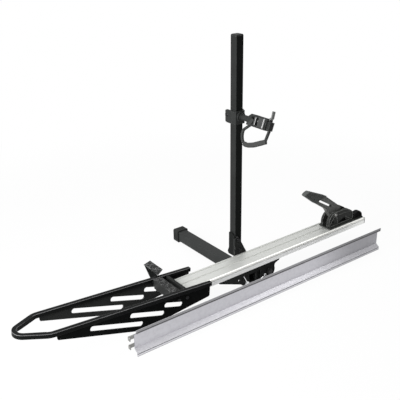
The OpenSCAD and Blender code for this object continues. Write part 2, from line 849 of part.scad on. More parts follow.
// Ribbed band over the wheel well, with an apron down its front and an ear at each side plate
module cradle_cross_band() {
    inner = cheek_half - rail_w / 2;
    wall = cheek_half - cheek_t / 2;
    apron_s = band_s + band_w;
    ribs = 6;
    pitch = band_w / ribs;
    color(painted) in_cradle() union() {
        translate([-apron_s, -inner, -sheet_t - 1]) cube([band_w, 2 * inner, sheet_t]);
        for (i = [0 : ribs - 1])
            translate([-apron_s + (i + 0.25) * pitch, -inner, -1.01]) cube([pitch / 2, 2 * inner, 1.6]);
        slab_y(-inner, inner) polygon([
            [-apron_s, -1], [-apron_s + sheet_t, -1], [-apron_s + sheet_t + 6, -apron_depth],
            [-apron_s + 6, -apron_depth]
        ]);
        slab_y(-wall, wall) polygon([
            [-apron_s + 2.4, -rail_w - 1], [-apron_s + sheet_t + 2.4, -rail_w - 1],
            [-apron_s + sheet_t + 5, -apron_depth + 8], [-apron_s + 5, -apron_depth + 8]
        ]);
        for (s = [-1, 1]) {
            y0 = s > 0 ? wall - sheet_t : -wall;
            slab_y(y0, y0 + sheet_t) difference() {
                union() {
                    translate([-apron_s + 4, -37]) square([band_w - 6, 17]);
                    translate([-bolt_s[1], -bolt_d]) circle(8);
                }
                translate([-bolt_s[1], -bolt_d]) circle(d = cradle_bolt_d + 2 * pin_clear);
            }
        }
    }
}

// Cross channel under the tray's end, between the two side plates
saddle_x0 = -352;
saddle_len = 70;

module cradle_saddle() {
    wall = cheek_half - cheek_t / 2;
    color(dark_paint) placed() translate([0, -tray_y, 0]) {
        translate([saddle_x0, -wall + 2.5, tray_z - 5]) cube([saddle_len, 2 * wall - 5, 5]);
        for (s = [-1, 1])
            translate([saddle_x0, s > 0 ? wall - 4 : -wall, tray_z - 22]) cube([saddle_len, 4, 22]);
    }
}

module side_wing() {
    ribs = 7;
    pitch = wing_w / ribs;
    // Far end and rail end of the wing, both cut slightly askew
    skew = 18;
    y0 = cradle_w / 2 + 2;
    y1 = cradle_w / 2 + wing_reach;
    s0 = wing_s;
    color(painted) in_cradle() {
        translate([0, 0, wing_rise - sheet_t]) linear_extrude(sheet_t)
            polygon([[-s0, y0 + skew], [-s0, y1], [-s0 - wing_w, y1 - skew], [-s0 - wing_w, y0 - 14]]);
        for (i = [0 : ribs - 1])
            translate([0, 0, wing_rise - 0.01]) linear_extrude(1.4) polygon([
                [-s0 - (i + 0.25) * pitch, y0 + skew - (i + 0.3) * skew / ribs],
                [-s0 - (i + 0.25) * pitch, y1 - (i + 1) * skew / ribs],
                [-s0 - (i + 0.75) * pitch, y1 - (i + 1) * skew / ribs],
                [-s0 - (i + 0.75) * pitch, y0 + skew - (i + 1.4) * skew / ribs]
            ]);
    }
}

// Brace from under the wing's outer end down to the far side plate, with a flange at its foot
module wing_leg() {
    t = 4;
    y0 = cheek_half + cheek_t / 2;
    y1 = cradle_w / 2 + wing_reach - 19;
    z1 = wing_rise - sheet_t;
    slope = (brace_drop + z1) / (y1 - y0);
    color(dark_paint) in_cradle()
    slab_x(-wing_s - wing_w + 1, -wing_s - 6) polygon([
        [y0, -brace_drop - 11], [y0 + t, -brace_drop - 11], [y0 + t, -brace_drop - t + t * slope],
        [y1, z1], [y1 - t / slope, z1], [y0, -brace_drop]
    ]);
}

module cradle_bolt_places() {
    for (s = bolt_s, side = [-1, 1]) translate([-s, 0, -bolt_d]) mirror([0, side < 0 ? 1 : 0, 0]) children();
}

module cradle_bolts() {
    outer = cheek_half + cheek_t / 2;
    inner = cheek_half - cheek_t / 2 - sheet_t;
    color(zinc) in_cradle()
    cradle_bolt_places() {
        hex_y(0, 0, outer, outer + bolt_head_h, 13);
        rod_y(0, 0, inner - 7, outer + 0.01, cradle_bolt_d);
    }
}

module cradle_nuts() {
    inner = cheek_half - cheek_t / 2 - sheet_t;
    color(zinc) in_cradle()
    translate([-bolt_s[1], 0, -bolt_d]) for (side = [0, 1]) mirror([0, side, 0])
        difference() {
            hex_y(0, 0, inner - 6, inner, 13);
            rod_y(0, 0, inner - 6 - cut, inner + cut, cradle_bolt_d + 0.02);
        }
}

/* Frame clamp on the mast */

collar_in = half_mast + collar_fit;
collar_out = collar_in + collar_wall;
clamp_bolt_y = 33;

module clamp_collar() {
    low = arm_z - 5 - collar_h / 2;
    high = low + collar_h;
    near = -collar_out - 1;
    color(plastic_black) placed()
    difference() {
        union() {
            intersection() {
                translate([0, 0, low]) linear_extrude(collar_h) difference() {
                    translate([0, (ear_reach - collar_out) / 2])
                        round_rect(2 * collar_out, ear_reach + collar_out, 4);
                    translate([-collar_in, -collar_in]) square([2 * collar_in, ear_reach + collar_in + cut]);
                }
                // The ears' corners are round
                slab_x(-collar_out - 1, collar_out + 1) polygon(concat(
                    [[near, high + 1], [near, low - 1], [ear_reach - ear_round, low - 1]],
                    corner([near, low], [ear_reach, low], [ear_reach, high], ear_round),
                    corner([ear_reach, low], [ear_reach, high], [near, high], ear_round),
                    [[ear_reach - ear_round, high + 1]]
                ));
            }
            rod_y(0, arm_z, -collar_out - 8, -collar_out + 1, 41);
        }
        rod_x(clamp_bolt_y, arm_z, -collar_out - cut, collar_out + cut, clamp_bolt_d + 2 * pin_clear);
        rod_x(clamp_bolt_y, arm_z, -collar_out - cut, -collar_out + 2.5, 15);
    }
}

module clamp_bolt() {
    color(zinc) placed() {
        rod_x(clamp_bolt_y, arm_z, -collar_out + 1, collar_out + 26, clamp_bolt_d);
        rod_x(clamp_bolt_y, arm_z, -collar_out, -collar_out + 2.5, 13);
    }
}

// Star knob on the clamp bolt
module clamp_knob() {
    lobes = 6;
    x0 = collar_out + 12;
    x1 = x0 + 26;
    color(plastic_black) placed()
    difference() {
        union() {
            rod_x(clamp_bolt_y, arm_z, collar_out + 0.4, x0 + 1, 18);
            rod_x(clamp_bolt_y, arm_z, x0, x1, knob_d);
        }
        rod_x(clamp_bolt_y, arm_z, collar_out, collar_out + 27, clamp_bolt_d + 0.1);
        for (i = [0 : lobes - 1])
            translate([0, clamp_bolt_y, arm_z]) rotate([i * 360 / lobes, 0, 0])
                rod_x(0, knob_d / 2 + 3, x0 - cut, x1 + cut, 11);
    }
}

spigot_len = 14;
spigot_d = 14;

module clamp_arm() {
    color(plastic_black) placed() {
        rod_y(0, arm_z, -arm_reach, -collar_out - 8, arm_d);
        rod_y(0, arm_z, -arm_reach - spigot_len, -arm_reach + 1, spigot_d);
        rod_y(0, arm_z, -collar_out - 14, -collar_out - 8, arm_d + 6);
    }
}

// The buckle head's frame: turned about the arm, with Z along the head's height
module in_head() {
    placed() translate([0, 0, arm_z]) rotate([0, head_turn, 0]) children();
}

head_left = -arm_reach - face_gap;
head_right = head_left - head_len;
head_top = head_h / 2 + 2;
head_low = head_top - head_h;
lever_y = head_right + 12;
lever_z = 8;
pawl_y = head_right + 46;
pawl_z = 12;
ladder_z = -6;
side_t = 5;

module buckle_shell() {
    inner = head_t / 2 - side_t;
    color(plastic_black) in_head()
    difference() {
        slab_x(-head_t / 2, head_t / 2) polygon(concat(
            corner([head_right, head_low], [head_left, head_low], [head_left, head_top], 3),
            corner([head_left, head_low], [head_left, head_top - 13], [head_left - 16, head_top], 5),
            corner([head_left, head_top - 13], [head_left - 16, head_top], [head_right, head_top], 5),
            corner([head_left, head_top], [head_right, head_top], [head_right, head_low], 5),
            corner([head_right, head_top], [head_right, head_low], [head_left, head_low], 5)
        ));
        // Room for the ladder, the pawl and the lever, open at the outer end
        translate([-inner, head_right - cut, head_low + 6])
            cube([2 * inner, head_len - 22, head_h - 12]);
        // Windows in the face
        translate([-head_t / 2 - cut, head_left - 38, head_low + 9]) cube([side_t + 2, 16, head_h - 18]);
        translate([-head_t / 2 - cut, head_left - 76, head_low + 9]) cube([side_t + 2, 26, head_h - 18]);
        // Slot in the top for the lever
        translate([-8, head_right - cut, head_top - 8]) cube([16, 30, 10]);
        for (p = [[lever_y, lever_z], [pawl_y, pawl_z]])
            rod_x(p[0], p[1], -head_t, head_t, 5.2);
        // Socket of the arm's spigot
        rod_y(0, 0, head_left - spigot_len, head_left + cut, spigot_d + 0.2);
    }
}

module buckle_pins() {
    color(zinc) in_head()
    for (p = [[lever_y, lever_z], [pawl_y, pawl_z]])
        rod_x(p[0], p[1], -head_t / 2 + 0.5, head_t / 2 - 0.5, 5);
}

module buckle_lever() {
    tab_y = head_right - 9;
    color(grey_nylon) in_head()
    difference() {
        union() {
            slab_x(-6, 6) union() {
                translate([lever_y, lever_z]) circle(7);
                polygon([
                    [lever_y - 6, lever_z - 3], [lever_y + 6, lever_z + 3], [head_right + 7, 25],
                    [tab_y + 3, 35], [tab_y - 2.5, 30], [head_right + 0.5, 19]
                ]);
            }
            slab_x(-7, 7) polygon(concat(
                [[tab_y + 2.8, 32], [tab_y - 2.6, 29.5]],
                corner([tab_y - 2.6, 29.5], [tab_y + 0.5, 60], [tab_y + 6, 60], 2),
                corner([tab_y + 0.5, 60], [tab_y + 6, 60], [tab_y + 2.8, 32], 2)
            ));
        }
        rod_x(lever_y, lever_z, -head_t, head_t, 5.2);
    }
}

module buckle_pawl() {
    color(grey_nylon) in_head()
    difference() {
        slab_x(-8, 8) union() {
            translate([pawl_y, pawl_z]) circle(6.5);
            polygon([[pawl_y - 1, pawl_z - 5], [pawl_y + 17, ladder_z + 5], [pawl_y + 19, ladder_z + 8.5],
                [pawl_y + 3, pawl_z + 5]]);
        }
        rod_x(pawl_y, pawl_z, -head_t, head_t, 5.2);
    }
}

// Toothed strap inside the head, and the end block that it leaves through
block_len = 17;
block_low = head_low + 4;

module ladder_strap() {
    teeth = 13;
    y0 = head_right + 2;
    y1 = head_left - 24;
    pitch = (y1 - y0) / teeth;
    color(plastic_black) in_head() union() {
        translate([-strap_w / 2, y0 - 2, ladder_z - 3]) cube([strap_w, y1 - y0 + 2, 4]);
        for (i = [0 : teeth - 1])
            slab_x(-strap_w / 2 + 1, strap_w / 2 - 1) polygon([
                [y0 + i * pitch, ladder_z + 0.9], [y0 + (i + 0.9) * pitch, ladder_z + 0.9],
                [y0 + (i + 0.15) * pitch, ladder_z + 3.6]
            ]);
        translate([-head_t / 2 + side_t, head_right - block_len, block_low])
            cube([head_t - 2 * side_t, block_len, 35]);
    }
}

// Middle line of the strap's loop, from the head's near end round to the end block
function loop_points() = [
    [head_left - 8, head_low], [head_left + 22, -48], [head_left + 20, -70], [head_left + 6, -95],
    [head_left - 20, -104], [head_left - 60, -93], [head_right - 6, -66], [head_right - 12, block_low]
];
function loop_path() = rounded_path(loop_points(), [18, 50, 36, 40, 100, 16]);

module strap_loop() {
    color(rubber) in_head()
    slab_x(-strap_w / 2, strap_w / 2) difference() {
        polygon(strip(loop_path(), strap_t));
        pad_outline();
        // Its two ends meet the shell and the end block flat
        translate([head_left - 30, head_low]) square(40);
        translate([head_right - 50, block_low]) square(60);
    }
}

// Thick pad at the bottom of the loop, which the frame tube rests on
module pad_outline() {
    p = loop_points();
    polygon(strip(rounded_path([p[3] + 12 * unit(p[4] - p[3]), p[4], p[5], p[6] + 6 * unit(p[6] - p[5])],
        [40, 100]), pad_t));
}

module strap_pad() {
    color(rubber) in_head()
    slab_x(-strap_w / 2 - 2, strap_w / 2 + 2) pad_outline();
}

/* Wheel clamp at the loading end */

clamp_near = -tray_y - clamp_w / 2;
clamp_far = -tray_y + clamp_w / 2;
foot_x0 = clamp_x - 46;
foot_x1 = tray_right + tray_cap_t;
foot_top = tray_top + foot_t;
drum_c = [clamp_x + 7, clamp_z - 37];
tooth_h = 3;
cheek_end = clamp_x + 134;
end_block_x = foot_x1 - end_block_r - 1;

module wheel_clamp_foot() {
    color(plastic_black) placed() {
        translate([foot_x0, -tray_y - foot_w / 2, tray_top]) cube([foot_x1 - foot_x0, foot_w, foot_t]);
        // Runner in the tray between its ridges
        translate([foot_x0 + 12, clamp_near + 4, tray_run])
            cube([foot_x1 - foot_x0 - 40, clamp_w - 8, tray_floor_drop]);
        // Key in the tray's groove
        translate([foot_x0 + 12, -tray_y - groove_w / 2 + 0.5, tray_run - 2.5])
            cube([foot_x1 - foot_x0 - 40, groove_w - 1, 2.5]);
    }
}

module lever_bolt_hole() {
    translate([clamp_x, clamp_z]) circle(d = lever_bolt_d + 2 * pin_clear);
}

// Everything below the foot's top, to cut the clamp's outlines flat
module below_foot() {
    translate([clamp_x - 100, foot_top - 100]) square([300, 100]);
}

module cheek_profile() {
    x = clamp_x;
    difference() {
        union() {
            translate(drum_c) circle(drum_r - tooth_h, $fn = 96);
            polygon(concat(
                [[drum_c[0], foot_top], drum_c + [0, drum_r - tooth_h]],
                corner(drum_c + [0, drum_r - tooth_h], [x + 76, clamp_z + 17], [x + 112, clamp_z - 3], 12),
                corner([x + 76, clamp_z + 17], [x + 112, clamp_z - 3], [cheek_end, clamp_z - 20], 12),
                [[cheek_end, clamp_z - 20], [cheek_end, foot_top]]
            ));
        }
        below_foot();
        // Triangular window
        polygon([[x + 18, clamp_z - 51], [x + 68, clamp_z - 30], [x + 86, clamp_z - 53]]);
        // Notch before the drum
        polygon([[x - 30, clamp_z - 36], [x - 8, clamp_z - 24], [x - 12, clamp_z - 40]]);
        lever_bolt_hole();
    }
}

module wheel_clamp_cheeks() {
    color(plastic_black) placed() {
        slab_y(clamp_near, clamp_near + clamp_cheek_t) cheek_profile();
        slab_y(clamp_far - clamp_cheek_t, clamp_far) cheek_profile();
    }
}

// Drum whose teeth hold the tyre, in two halves with the lever between them
module drum_outline() {
    a0 = 98;
    a1 = 202;
    step = (a1 - a0) / drum_teeth;
    function rim(r, i) = drum_c + r * [cos(a0 + i * step), sin(a0 + i * step)];
    difference() {
        union() {
            translate(drum_c) circle(drum_r - tooth_h);
            polygon(concat(
                [drum_c],
                [for (i = [0 : drum_teeth - 1]) each [
                    rim(drum_r, i), rim(drum_r, i + 0.5), rim(drum_r - tooth_h, i + 0.8)
                ]]
            ));
        }
        below_foot();
        lever_bolt_hole();
    }
}

module toothed_drum() {
    inner = clamp_w / 2 - clamp_cheek_t;
    color(plastic_black) placed() {
        slab_y(-tray_y - inner, -tray_y - inner + drum_t) drum_outline();
        slab_y(-tray_y + inner - drum_t, -tray_y + inner) drum_outline();
    }
}

// The lever's frame: its pivot at the origin and its length along -X
lever_angle = 39.5;

module in_lever() {
    placed() translate([clamp_x, -tray_y, clamp_z]) rotate([0, lever_angle, 0]) children();
}

arm_half = clamp_w / 2 - clamp_cheek_t - drum_t - 1;
tang_half = arm_half - 3;
lever_root = lever_len - grip_len;
hub_r = 21;

// Tang inside the grip
module tang_outline() {
    polygon([
        [-lever_root + 36, 38], [-lever_len + 32, 9], [-lever_len + 20, -8], [-lever_root + 8, -6]
    ]);
}

module clamp_lever() {
    color(plastic_black) in_lever()
    difference() {
        union() {
            slab_y(-arm_half, arm_half) union() {
                circle(hub_r);
                polygon(concat(
                    [[hub_r - 0.2, 2]],
                    corner([hub_r, 0], [28, 53], [-lever_root + 42, 47], 8),
                    [[-lever_root + 42, 47], [-lever_root + 8, 14], [-lever_root, -11], [-69, -3.3],
                        [-5, -hub_r + 0.6]]
                ));
            }
            slab_y(-tang_half, tang_half) tang_outline();
        }
        // Slot through the lever
        slab_y(-arm_half - cut, arm_half + cut) slot([-lever_root + 11, 9], [-35, 26], lever_slot_h);
        rod_y(0, 0, -arm_half - cut, arm_half + cut, lever_bolt_d + 2 * pin_clear);
    }
}

// Rubber sleeve over the lever's end, round at its tip
module lever_grip() {
    color(rubber) in_lever()
    difference() {
        intersection() {
            slab_y(-grip_w / 2, grip_w / 2) polygon(concat(
                [[-lever_root - 0.5, -12.5], [-lever_root + 7.98, 14], [-lever_root + 41.98, 50]],
                corner([-lever_root + 42, 50], [-lever_len + 21, 15], [-lever_len, -16], 6),
                corner([-lever_len + 21, 15], [-lever_len, -16], [-lever_root - 0.5, -12.5], 6)
            ));
            translate([0, 0, -30]) linear_extrude(100) {
                translate([-lever_len + grip_w / 2, -grip_w / 2]) square([lever_len, grip_w]);
                translate([-lever_len + grip_w / 2, 0]) circle(d = grip_w);
            }
        }
        slab_y(-tang_half, tang_half) tang_outline();
    }
}

module lever_bolt() {
    color(zinc) placed() {
        rod_y(clamp_x, clamp_z, clamp_near - 3, clamp_far + 7, lever_bolt_d);
        hex_y(clamp_x, clamp_z, clamp_near - 6, clamp_near, 16);
        hex_y(clamp_x, clamp_z, clamp_far, clamp_far + 7, 16);
    }
}

// Half round block on the foot's near side, against the side plate's end
module clamp_end_block() {
    wall = 5;
    x0 = cheek_end + 2;
    y0 = -tray_y - foot_w / 2 + 4;
    color(plastic_black) placed()
    difference() {
        slab_y(y0, y0 + end_block_w) intersection() {
            translate([end_block_x, foot_top]) circle(end_block_r, $fn = 96);
            translate([x0, foot_top]) square([200, end_block_r + 1]);
        }
        // Recess in its near face
        slab_y(y0 - cut, y0 + 5) intersection() {
            translate([end_block_x, foot_top]) circle(end_block_r - wall, $fn = 96);
            translate([x0 + wall, foot_top + wall]) square([200, end_block_r]);
        }
    }
}

/* Loading ramp, on its side: X along it, its open side to -Y, its rims above and below */

ramp_yaw = -0.6;

module in_ramp() {
    placed() translate([-ramp_x, -ramp_y, ramp_w / 2 - ground_z]) rotate([0, 0, ramp_yaw]) children();
}

module ramp_channel() {
    edge = ramp_floor_w / 2 - ramp_t * 0.4;
    color(ramp_alloy) in_ramp()
    translate([0, -ramp_t, -edge]) cube([ramp_len, ramp_t, 2 * edge]);
}

// Sloped sides of the ramp's channel, each ending in a grooved rim
module ramp_sides() {
    half_floor = ramp_floor_w / 2;
    half = ramp_w / 2;
    back = ramp_depth;
    front = ramp_depth + ramp_t;
    edge = half_floor - ramp_t * 0.4;
    color(ramp_alloy) in_ramp()
    for (side = [0, 1]) mirror([0, 0, side]) difference() {
        slab_x(0, ramp_len) polygon([
            [0, edge], [0, half_floor], [-back, half - ramp_rim], [-back, half],
            [-front, half], [-front, half - ramp_rim - ramp_t * 0.45], [-ramp_t, edge]
        ]);
        slab_x(-1, ramp_len + 1) translate([-front, half - ramp_rim + ramp_groove_w])
        square([2 * ramp_groove_depth, ramp_groove_w], center = true);
    }
}

hook_z = [-24, 14];
hook_w = 16;

// Hooks riveted behind the ramp's end, bent over to drop on the tray's end
module ramp_hooks() {
    color(ramp_alloy) in_ramp()
    for (z = hook_z) translate([0, 0, z]) {
        translate([-hook_reach + 3, 0, 0]) cube([hook_reach + 37, 4, hook_w]);
        translate([-hook_reach, -10, 0]) cube([4, 14, hook_w]);
    }
}

module ramp_rivets() {
    color(zinc) in_ramp()
    for (z = hook_z, x = [12, 30]) rod_y(x, z + hook_w / 2, 4, 6, 9);
}

receiver_bar();
receiver_cap();
head_plate_near();
head_plate_far();
pivot_sleeve();
bracket_near_plate();
bracket_far_plate();
bracket_flange();
pivot_bolt();
pivot_nut();
lock_pin();
pin_handle();
stop_pin();
bracket_bolts();
wheel_tray();
tray_end_cap();
tray_end_bar();
mast();
mast_cap();
mast_side_plate();
mast_bolts();
mast_nuts();
cradle_hoop();
cradle_near_cheek();
cradle_far_cheek();
cradle_cross_band();
cradle_saddle();
side_wing();
wing_leg();
cradle_bolts();
cradle_nuts();
clamp_collar();
clamp_arm();
clamp_bolt();
clamp_knob();
buckle_shell();
buckle_lever();
buckle_pawl();
buckle_pins();
ladder_strap();
strap_loop();
strap_pad();
wheel_clamp_foot();
wheel_clamp_cheeks();
toothed_drum();
clamp_lever();
lever_grip();
lever_bolt();
clamp_end_block();
ramp_channel();
ramp_sides();
ramp_hooks();
ramp_rivets();
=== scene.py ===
import json
from math import radians, sin, cos, tan, pi
import bpy
import bmesh
from mathutils import Matrix, Vector

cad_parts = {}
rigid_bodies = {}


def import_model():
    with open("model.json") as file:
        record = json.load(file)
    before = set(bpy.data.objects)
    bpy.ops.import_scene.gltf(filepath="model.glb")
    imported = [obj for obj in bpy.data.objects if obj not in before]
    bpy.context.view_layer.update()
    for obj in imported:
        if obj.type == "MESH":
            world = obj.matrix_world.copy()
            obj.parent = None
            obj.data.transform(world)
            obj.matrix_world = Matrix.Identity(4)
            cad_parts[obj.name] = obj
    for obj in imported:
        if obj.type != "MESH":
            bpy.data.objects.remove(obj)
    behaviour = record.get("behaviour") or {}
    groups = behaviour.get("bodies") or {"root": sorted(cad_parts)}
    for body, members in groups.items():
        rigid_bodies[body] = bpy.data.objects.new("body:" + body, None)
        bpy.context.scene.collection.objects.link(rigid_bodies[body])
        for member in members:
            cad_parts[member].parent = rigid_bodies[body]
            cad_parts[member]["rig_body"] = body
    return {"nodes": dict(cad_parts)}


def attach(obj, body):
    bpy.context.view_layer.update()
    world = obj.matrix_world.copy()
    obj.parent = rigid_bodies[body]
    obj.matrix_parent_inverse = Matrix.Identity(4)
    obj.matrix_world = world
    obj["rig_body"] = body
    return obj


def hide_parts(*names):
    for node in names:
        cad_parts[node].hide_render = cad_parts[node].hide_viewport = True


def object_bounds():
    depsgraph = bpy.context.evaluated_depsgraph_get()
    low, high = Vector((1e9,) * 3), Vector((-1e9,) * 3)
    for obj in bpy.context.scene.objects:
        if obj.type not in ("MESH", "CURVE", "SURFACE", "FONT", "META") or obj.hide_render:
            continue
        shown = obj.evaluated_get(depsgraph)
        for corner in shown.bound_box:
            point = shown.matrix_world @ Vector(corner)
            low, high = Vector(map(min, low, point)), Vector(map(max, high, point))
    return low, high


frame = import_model()
cadLow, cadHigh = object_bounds()
mm = 0.001
print("frame loaded:", len(frame["nodes"]), "nodes")

# camera at the photograph's view

cameraSettings = {
    "place": (-1.6900, -2.3766, 1.4850),
    "yaw": -36.744,
    "pitch": 23.597,
    "roll": -0.9715,
    "lens": 57.6,
}


def setCamera(s):
    yaw, pitch, roll = radians(s["yaw"]), radians(s["pitch"]), radians(s["roll"])
    ahead = Vector((-sin(yaw) * cos(pitch), cos(yaw) * cos(pitch), -sin(pitch)))
    side = Vector((cos(yaw), sin(yaw), 0))
    up = side.cross(ahead)
    right = side * cos(roll) + up * sin(roll)
    top = up * cos(roll) - side * sin(roll)
    lens = bpy.data.cameras.new("photoCamera")
    lens.lens = s["lens"]
    lens.sensor_width = 36
    lens.clip_start, lens.clip_end = 0.05, 60
    camera = bpy.data.objects.new("photoCamera", lens)
    turn = Matrix((right, top, -ahead)).transposed().to_4x4()
    camera.matrix_world = Matrix.Translation(s["place"]) @ turn
    bpy.context.scene.collection.objects.link(camera)
    bpy.context.scene.camera = camera


setCamera(cameraSettings)
print("camera placed")

# small helpers for node trees: a node is made and wired in one call, and its output comes back


def addNode(tree, kind, inputs=None, out=0, **props):
    made = tree.nodes.new(kind)
    for name, value in props.items():
        setattr(made, name, value)
    for socket, value in (inputs or {}).items():
        if isinstance(value, bpy.types.NodeSocket):
            tree.links.new(value, made.inputs[socket])
        else:
            made.inputs[socket].default_value = value
    return made.outputs[out] if made.outputs else made


# a group's inputs with their values, where a tuple is a colour, and its outputs


def newGroup(name, inputs, outputs=("Color", "Roughness", "Height")):
    tree = bpy.data.node_groups.new(name, "ShaderNodeTree")
    for label, value in inputs.items():
        kind = "NodeSocketColor" if isinstance(value, tuple) else "NodeSocketFloat"
        tree.interface.new_socket(label, in_out="INPUT", socket_type=kind).default_value = value
    for label in outputs:
        kind = "NodeSocketColor" if label == "Color" else "NodeSocketFloat"
        tree.interface.new_socket(label, in_out="OUTPUT", socket_type=kind)
    return tree, tree.nodes.new("NodeGroupInput").outputs


def freshTree(owner):
    owner.use_nodes = True
    owner.node_tree.nodes.clear()
    return owner.node_tree


def objectPlace(tree):
    return addNode(tree, "ShaderNodeTexCoord", out="Object")


def noise(tree, place, scale, detail, rough=0.5, distortion=0.0):
    values = {"Scale": scale, "Detail": detail, "Roughness": rough, "Distortion": distortion}
    return addNode(tree, "ShaderNodeTexNoise", {"Vector": place, **values}, "Fac")


def rescale(tree, source, low, high, first, last, kind="LINEAR"):
    values = {"Value": source, "From Min": low, "From Max": high, "To Min": first, "To Max": last}
    return addNode(tree, "ShaderNodeMapRange", values, interpolation_type=kind)


def ramp(tree, source, low, high):
    return rescale(tree, source, low, high, 0.0, 1.0, "SMOOTHSTEP")


def math(tree, kind, *values, clamp=False):
    return addNode(tree, "ShaderNodeMath", dict(enumerate(values)), operation=kind, use_clamp=clamp)


def mix(tree, share, first, second, kind="MIX"):
    values = {0: share, 6: first, 7: second}
    return addNode(tree, "ShaderNodeMix", values, 2, data_type="RGBA", blend_type=kind)


# a value that a noise lifts and lowers by half the amount
def sway(tree, value, source, amount):
    return math(tree, "MULTIPLY_ADD", source, amount, math(tree, "SUBTRACT", value, amount / 2))


# edge wear and painted sheen: where a small bevel would turn the surface, broken up by noise


def edgeWearAndSheenGroup():
    tree, given = newGroup("edgeWearAndSheen", {"Reach": 0.0012, "Amount": 0.6, "Grain": 260.0}, ["Mask"])
    rounded = addNode(tree, "ShaderNodeBevel", {"Radius": given["Reach"]}, samples=4)
    flat = addNode(tree, "ShaderNodeNewGeometry", out="Normal")
    dot = addNode(tree, "ShaderNodeVectorMath", {0: rounded, 1: flat}, "Value", operation="DOT_PRODUCT")
    turned = ramp(tree, dot, 0.995, 0.86)
    broken = ramp(tree, noise(tree, objectPlace(tree), given["Grain"], 4.0, 0.65), 0.42, 0.66)
    both = math(tree, "MULTIPLY", turned, broken)
    addNode(tree, "NodeGroupOutput", {"Mask": math(tree, "MULTIPLY", both, given["Amount"])})
    return tree


# powder coat: orange peel, a little cloudiness and fine specks


def powderCoatGroup():
    tree, given = newGroup("powderCoat", {
        "Paint": (0.02, 0.02, 0.02, 1), "Worn": (0.2, 0.2, 0.2, 1), "Wear": 0.0, "Roughness": 0.4,
        "Peel": 700.0, "Cloud": 0.25,
    })
    place = objectPlace(tree)
    cloud = noise(tree, place, 14.0, 3.0)
    speck = addNode(tree, "ShaderNodeTexVoronoi", {"Vector": place, "Scale": 900.0}, "Distance")
    dust = math(tree, "MULTIPLY", ramp(tree, speck, 0.12, 0.02), 0.12)
    # the paint is a little lighter where it is cloudy
    lift = rescale(tree, cloud, 0.35, 0.65, 0.8, 1.25)
    tone = mix(tree, given["Cloud"], given["Paint"], lift, "MULTIPLY")
    specked = mix(tree, dust, tone, given["Worn"])
    addNode(tree, "NodeGroupOutput", {
        "Color": mix(tree, given["Wear"], specked, given["Worn"]),
        "Roughness": sway(tree, given["Roughness"], cloud, 0.16),
        "Height": noise(tree, place, given["Peel"], 2.0, 0.45),
    })
    return tree


# drawn aluminium: fine lines along X, and faint stains


def drawnAlloyGroup():
    tree, given = newGroup("drawnAlloy", {
        "Tone": (0.75, 0.75, 0.72, 1), "Dull": (0.6, 0.6, 0.58, 1), "Roughness": 0.4, "Lines": 1.0,
        "Mottle": 0.3,
    })
    place = objectPlace(tree)
    fine = addNode(tree, "ShaderNodeMapping", {"Vector": place, "Scale": (1.2, 900.0, 900.0)})
    wide = addNode(tree, "ShaderNodeMapping", {"Vector": place, "Scale": (0.8, 120.0, 120.0)})
    lines = noise(tree, fine, 1.0, 5.0, 0.7)
    bands = noise(tree, wide, 1.0, 2.0)
    patches = ramp(tree, noise(tree, place, 70.0, 6.0, 0.6), 0.42, 0.68)
    lineShare = math(tree, "MULTIPLY", ramp(tree, lines, 0.3, 0.7), given["Lines"])
    softer = math(tree, "MULTIPLY", lineShare, 0.5)
    both = math(tree, "ADD", softer, math(tree, "MULTIPLY", patches, given["Mottle"]), clamp=True)
    addNode(tree, "NodeGroupOutput", {
        "Color": mix(tree, both, given["Tone"], given["Dull"]),
        "Roughness": sway(tree, given["Roughness"], bands, 0.14),
        "Height": lines,
    })
    return tree


# moulded plastic: spark-eroded grain, faint flow marks, rubbed edges


def mouldGrainGroup():
    tree, given = newGroup("mouldGrain", {
        "Plastic": (0.03, 0.03, 0.03, 1), "Rubbed": (0.1, 0.1, 0.1, 1), "Wear": 0.0, "Roughness": 0.5,
        "Grain": 1500.0,
    })
    place = objectPlace(tree)
    flow = noise(tree, place, 30.0, 2.0, distortion=1.2)
    tone = mix(tree, 0.6, given["Plastic"], rescale(tree, flow, 0.3, 0.7, 0.82, 1.2), "MULTIPLY")
    addNode(tree, "NodeGroupOutput", {
        "Color": mix(tree, given["Wear"], tone, given["Rubbed"]),
        "Roughness": sway(tree, given["Roughness"], flow, 0.2),
        "Height": noise(tree, place, given["Grain"], 3.0, 0.6),
    })
    return tree


# painted shade: tone that changes along the length of a long piece, standing in for light that falls off
# along it


def paintedLengthShadeGroup():
    tree, given = newGroup("paintedLengthShade", {
        "Color": (0.5, 0.5, 0.5, 1), "Start": 0.0, "End": 1.0, "First": 1.0, "Last": 1.0,
    }, ["Color"])
    length = addNode(tree, "ShaderNodeSeparateXYZ", {"Vector": objectPlace(tree)}, "X")
    ends = [given[label] for label in ("Start", "End", "First", "Last")]
    share = rescale(tree, length, *ends, kind="SMOOTHSTEP")
    addNode(tree, "NodeGroupOutput", {"Color": mix(tree, 1.0, given["Color"], share, "MULTIPLY")})
    return tree


edgeWearAndSheen = edgeWearAndSheenGroup()
paintedLengthShade = paintedLengthShadeGroup()
powderCoat = powderCoatGroup()
drawnAlloy = drawnAlloyGroup()
mouldGrain = mouldGrainGroup()


def useGroup(tree, group, labels, values):
    made = tree.nodes.new("ShaderNodeGroup")
    made.node_tree = group
    for socket, value in zip(labels, values):
        made.inputs[socket].default_value = value
    return made
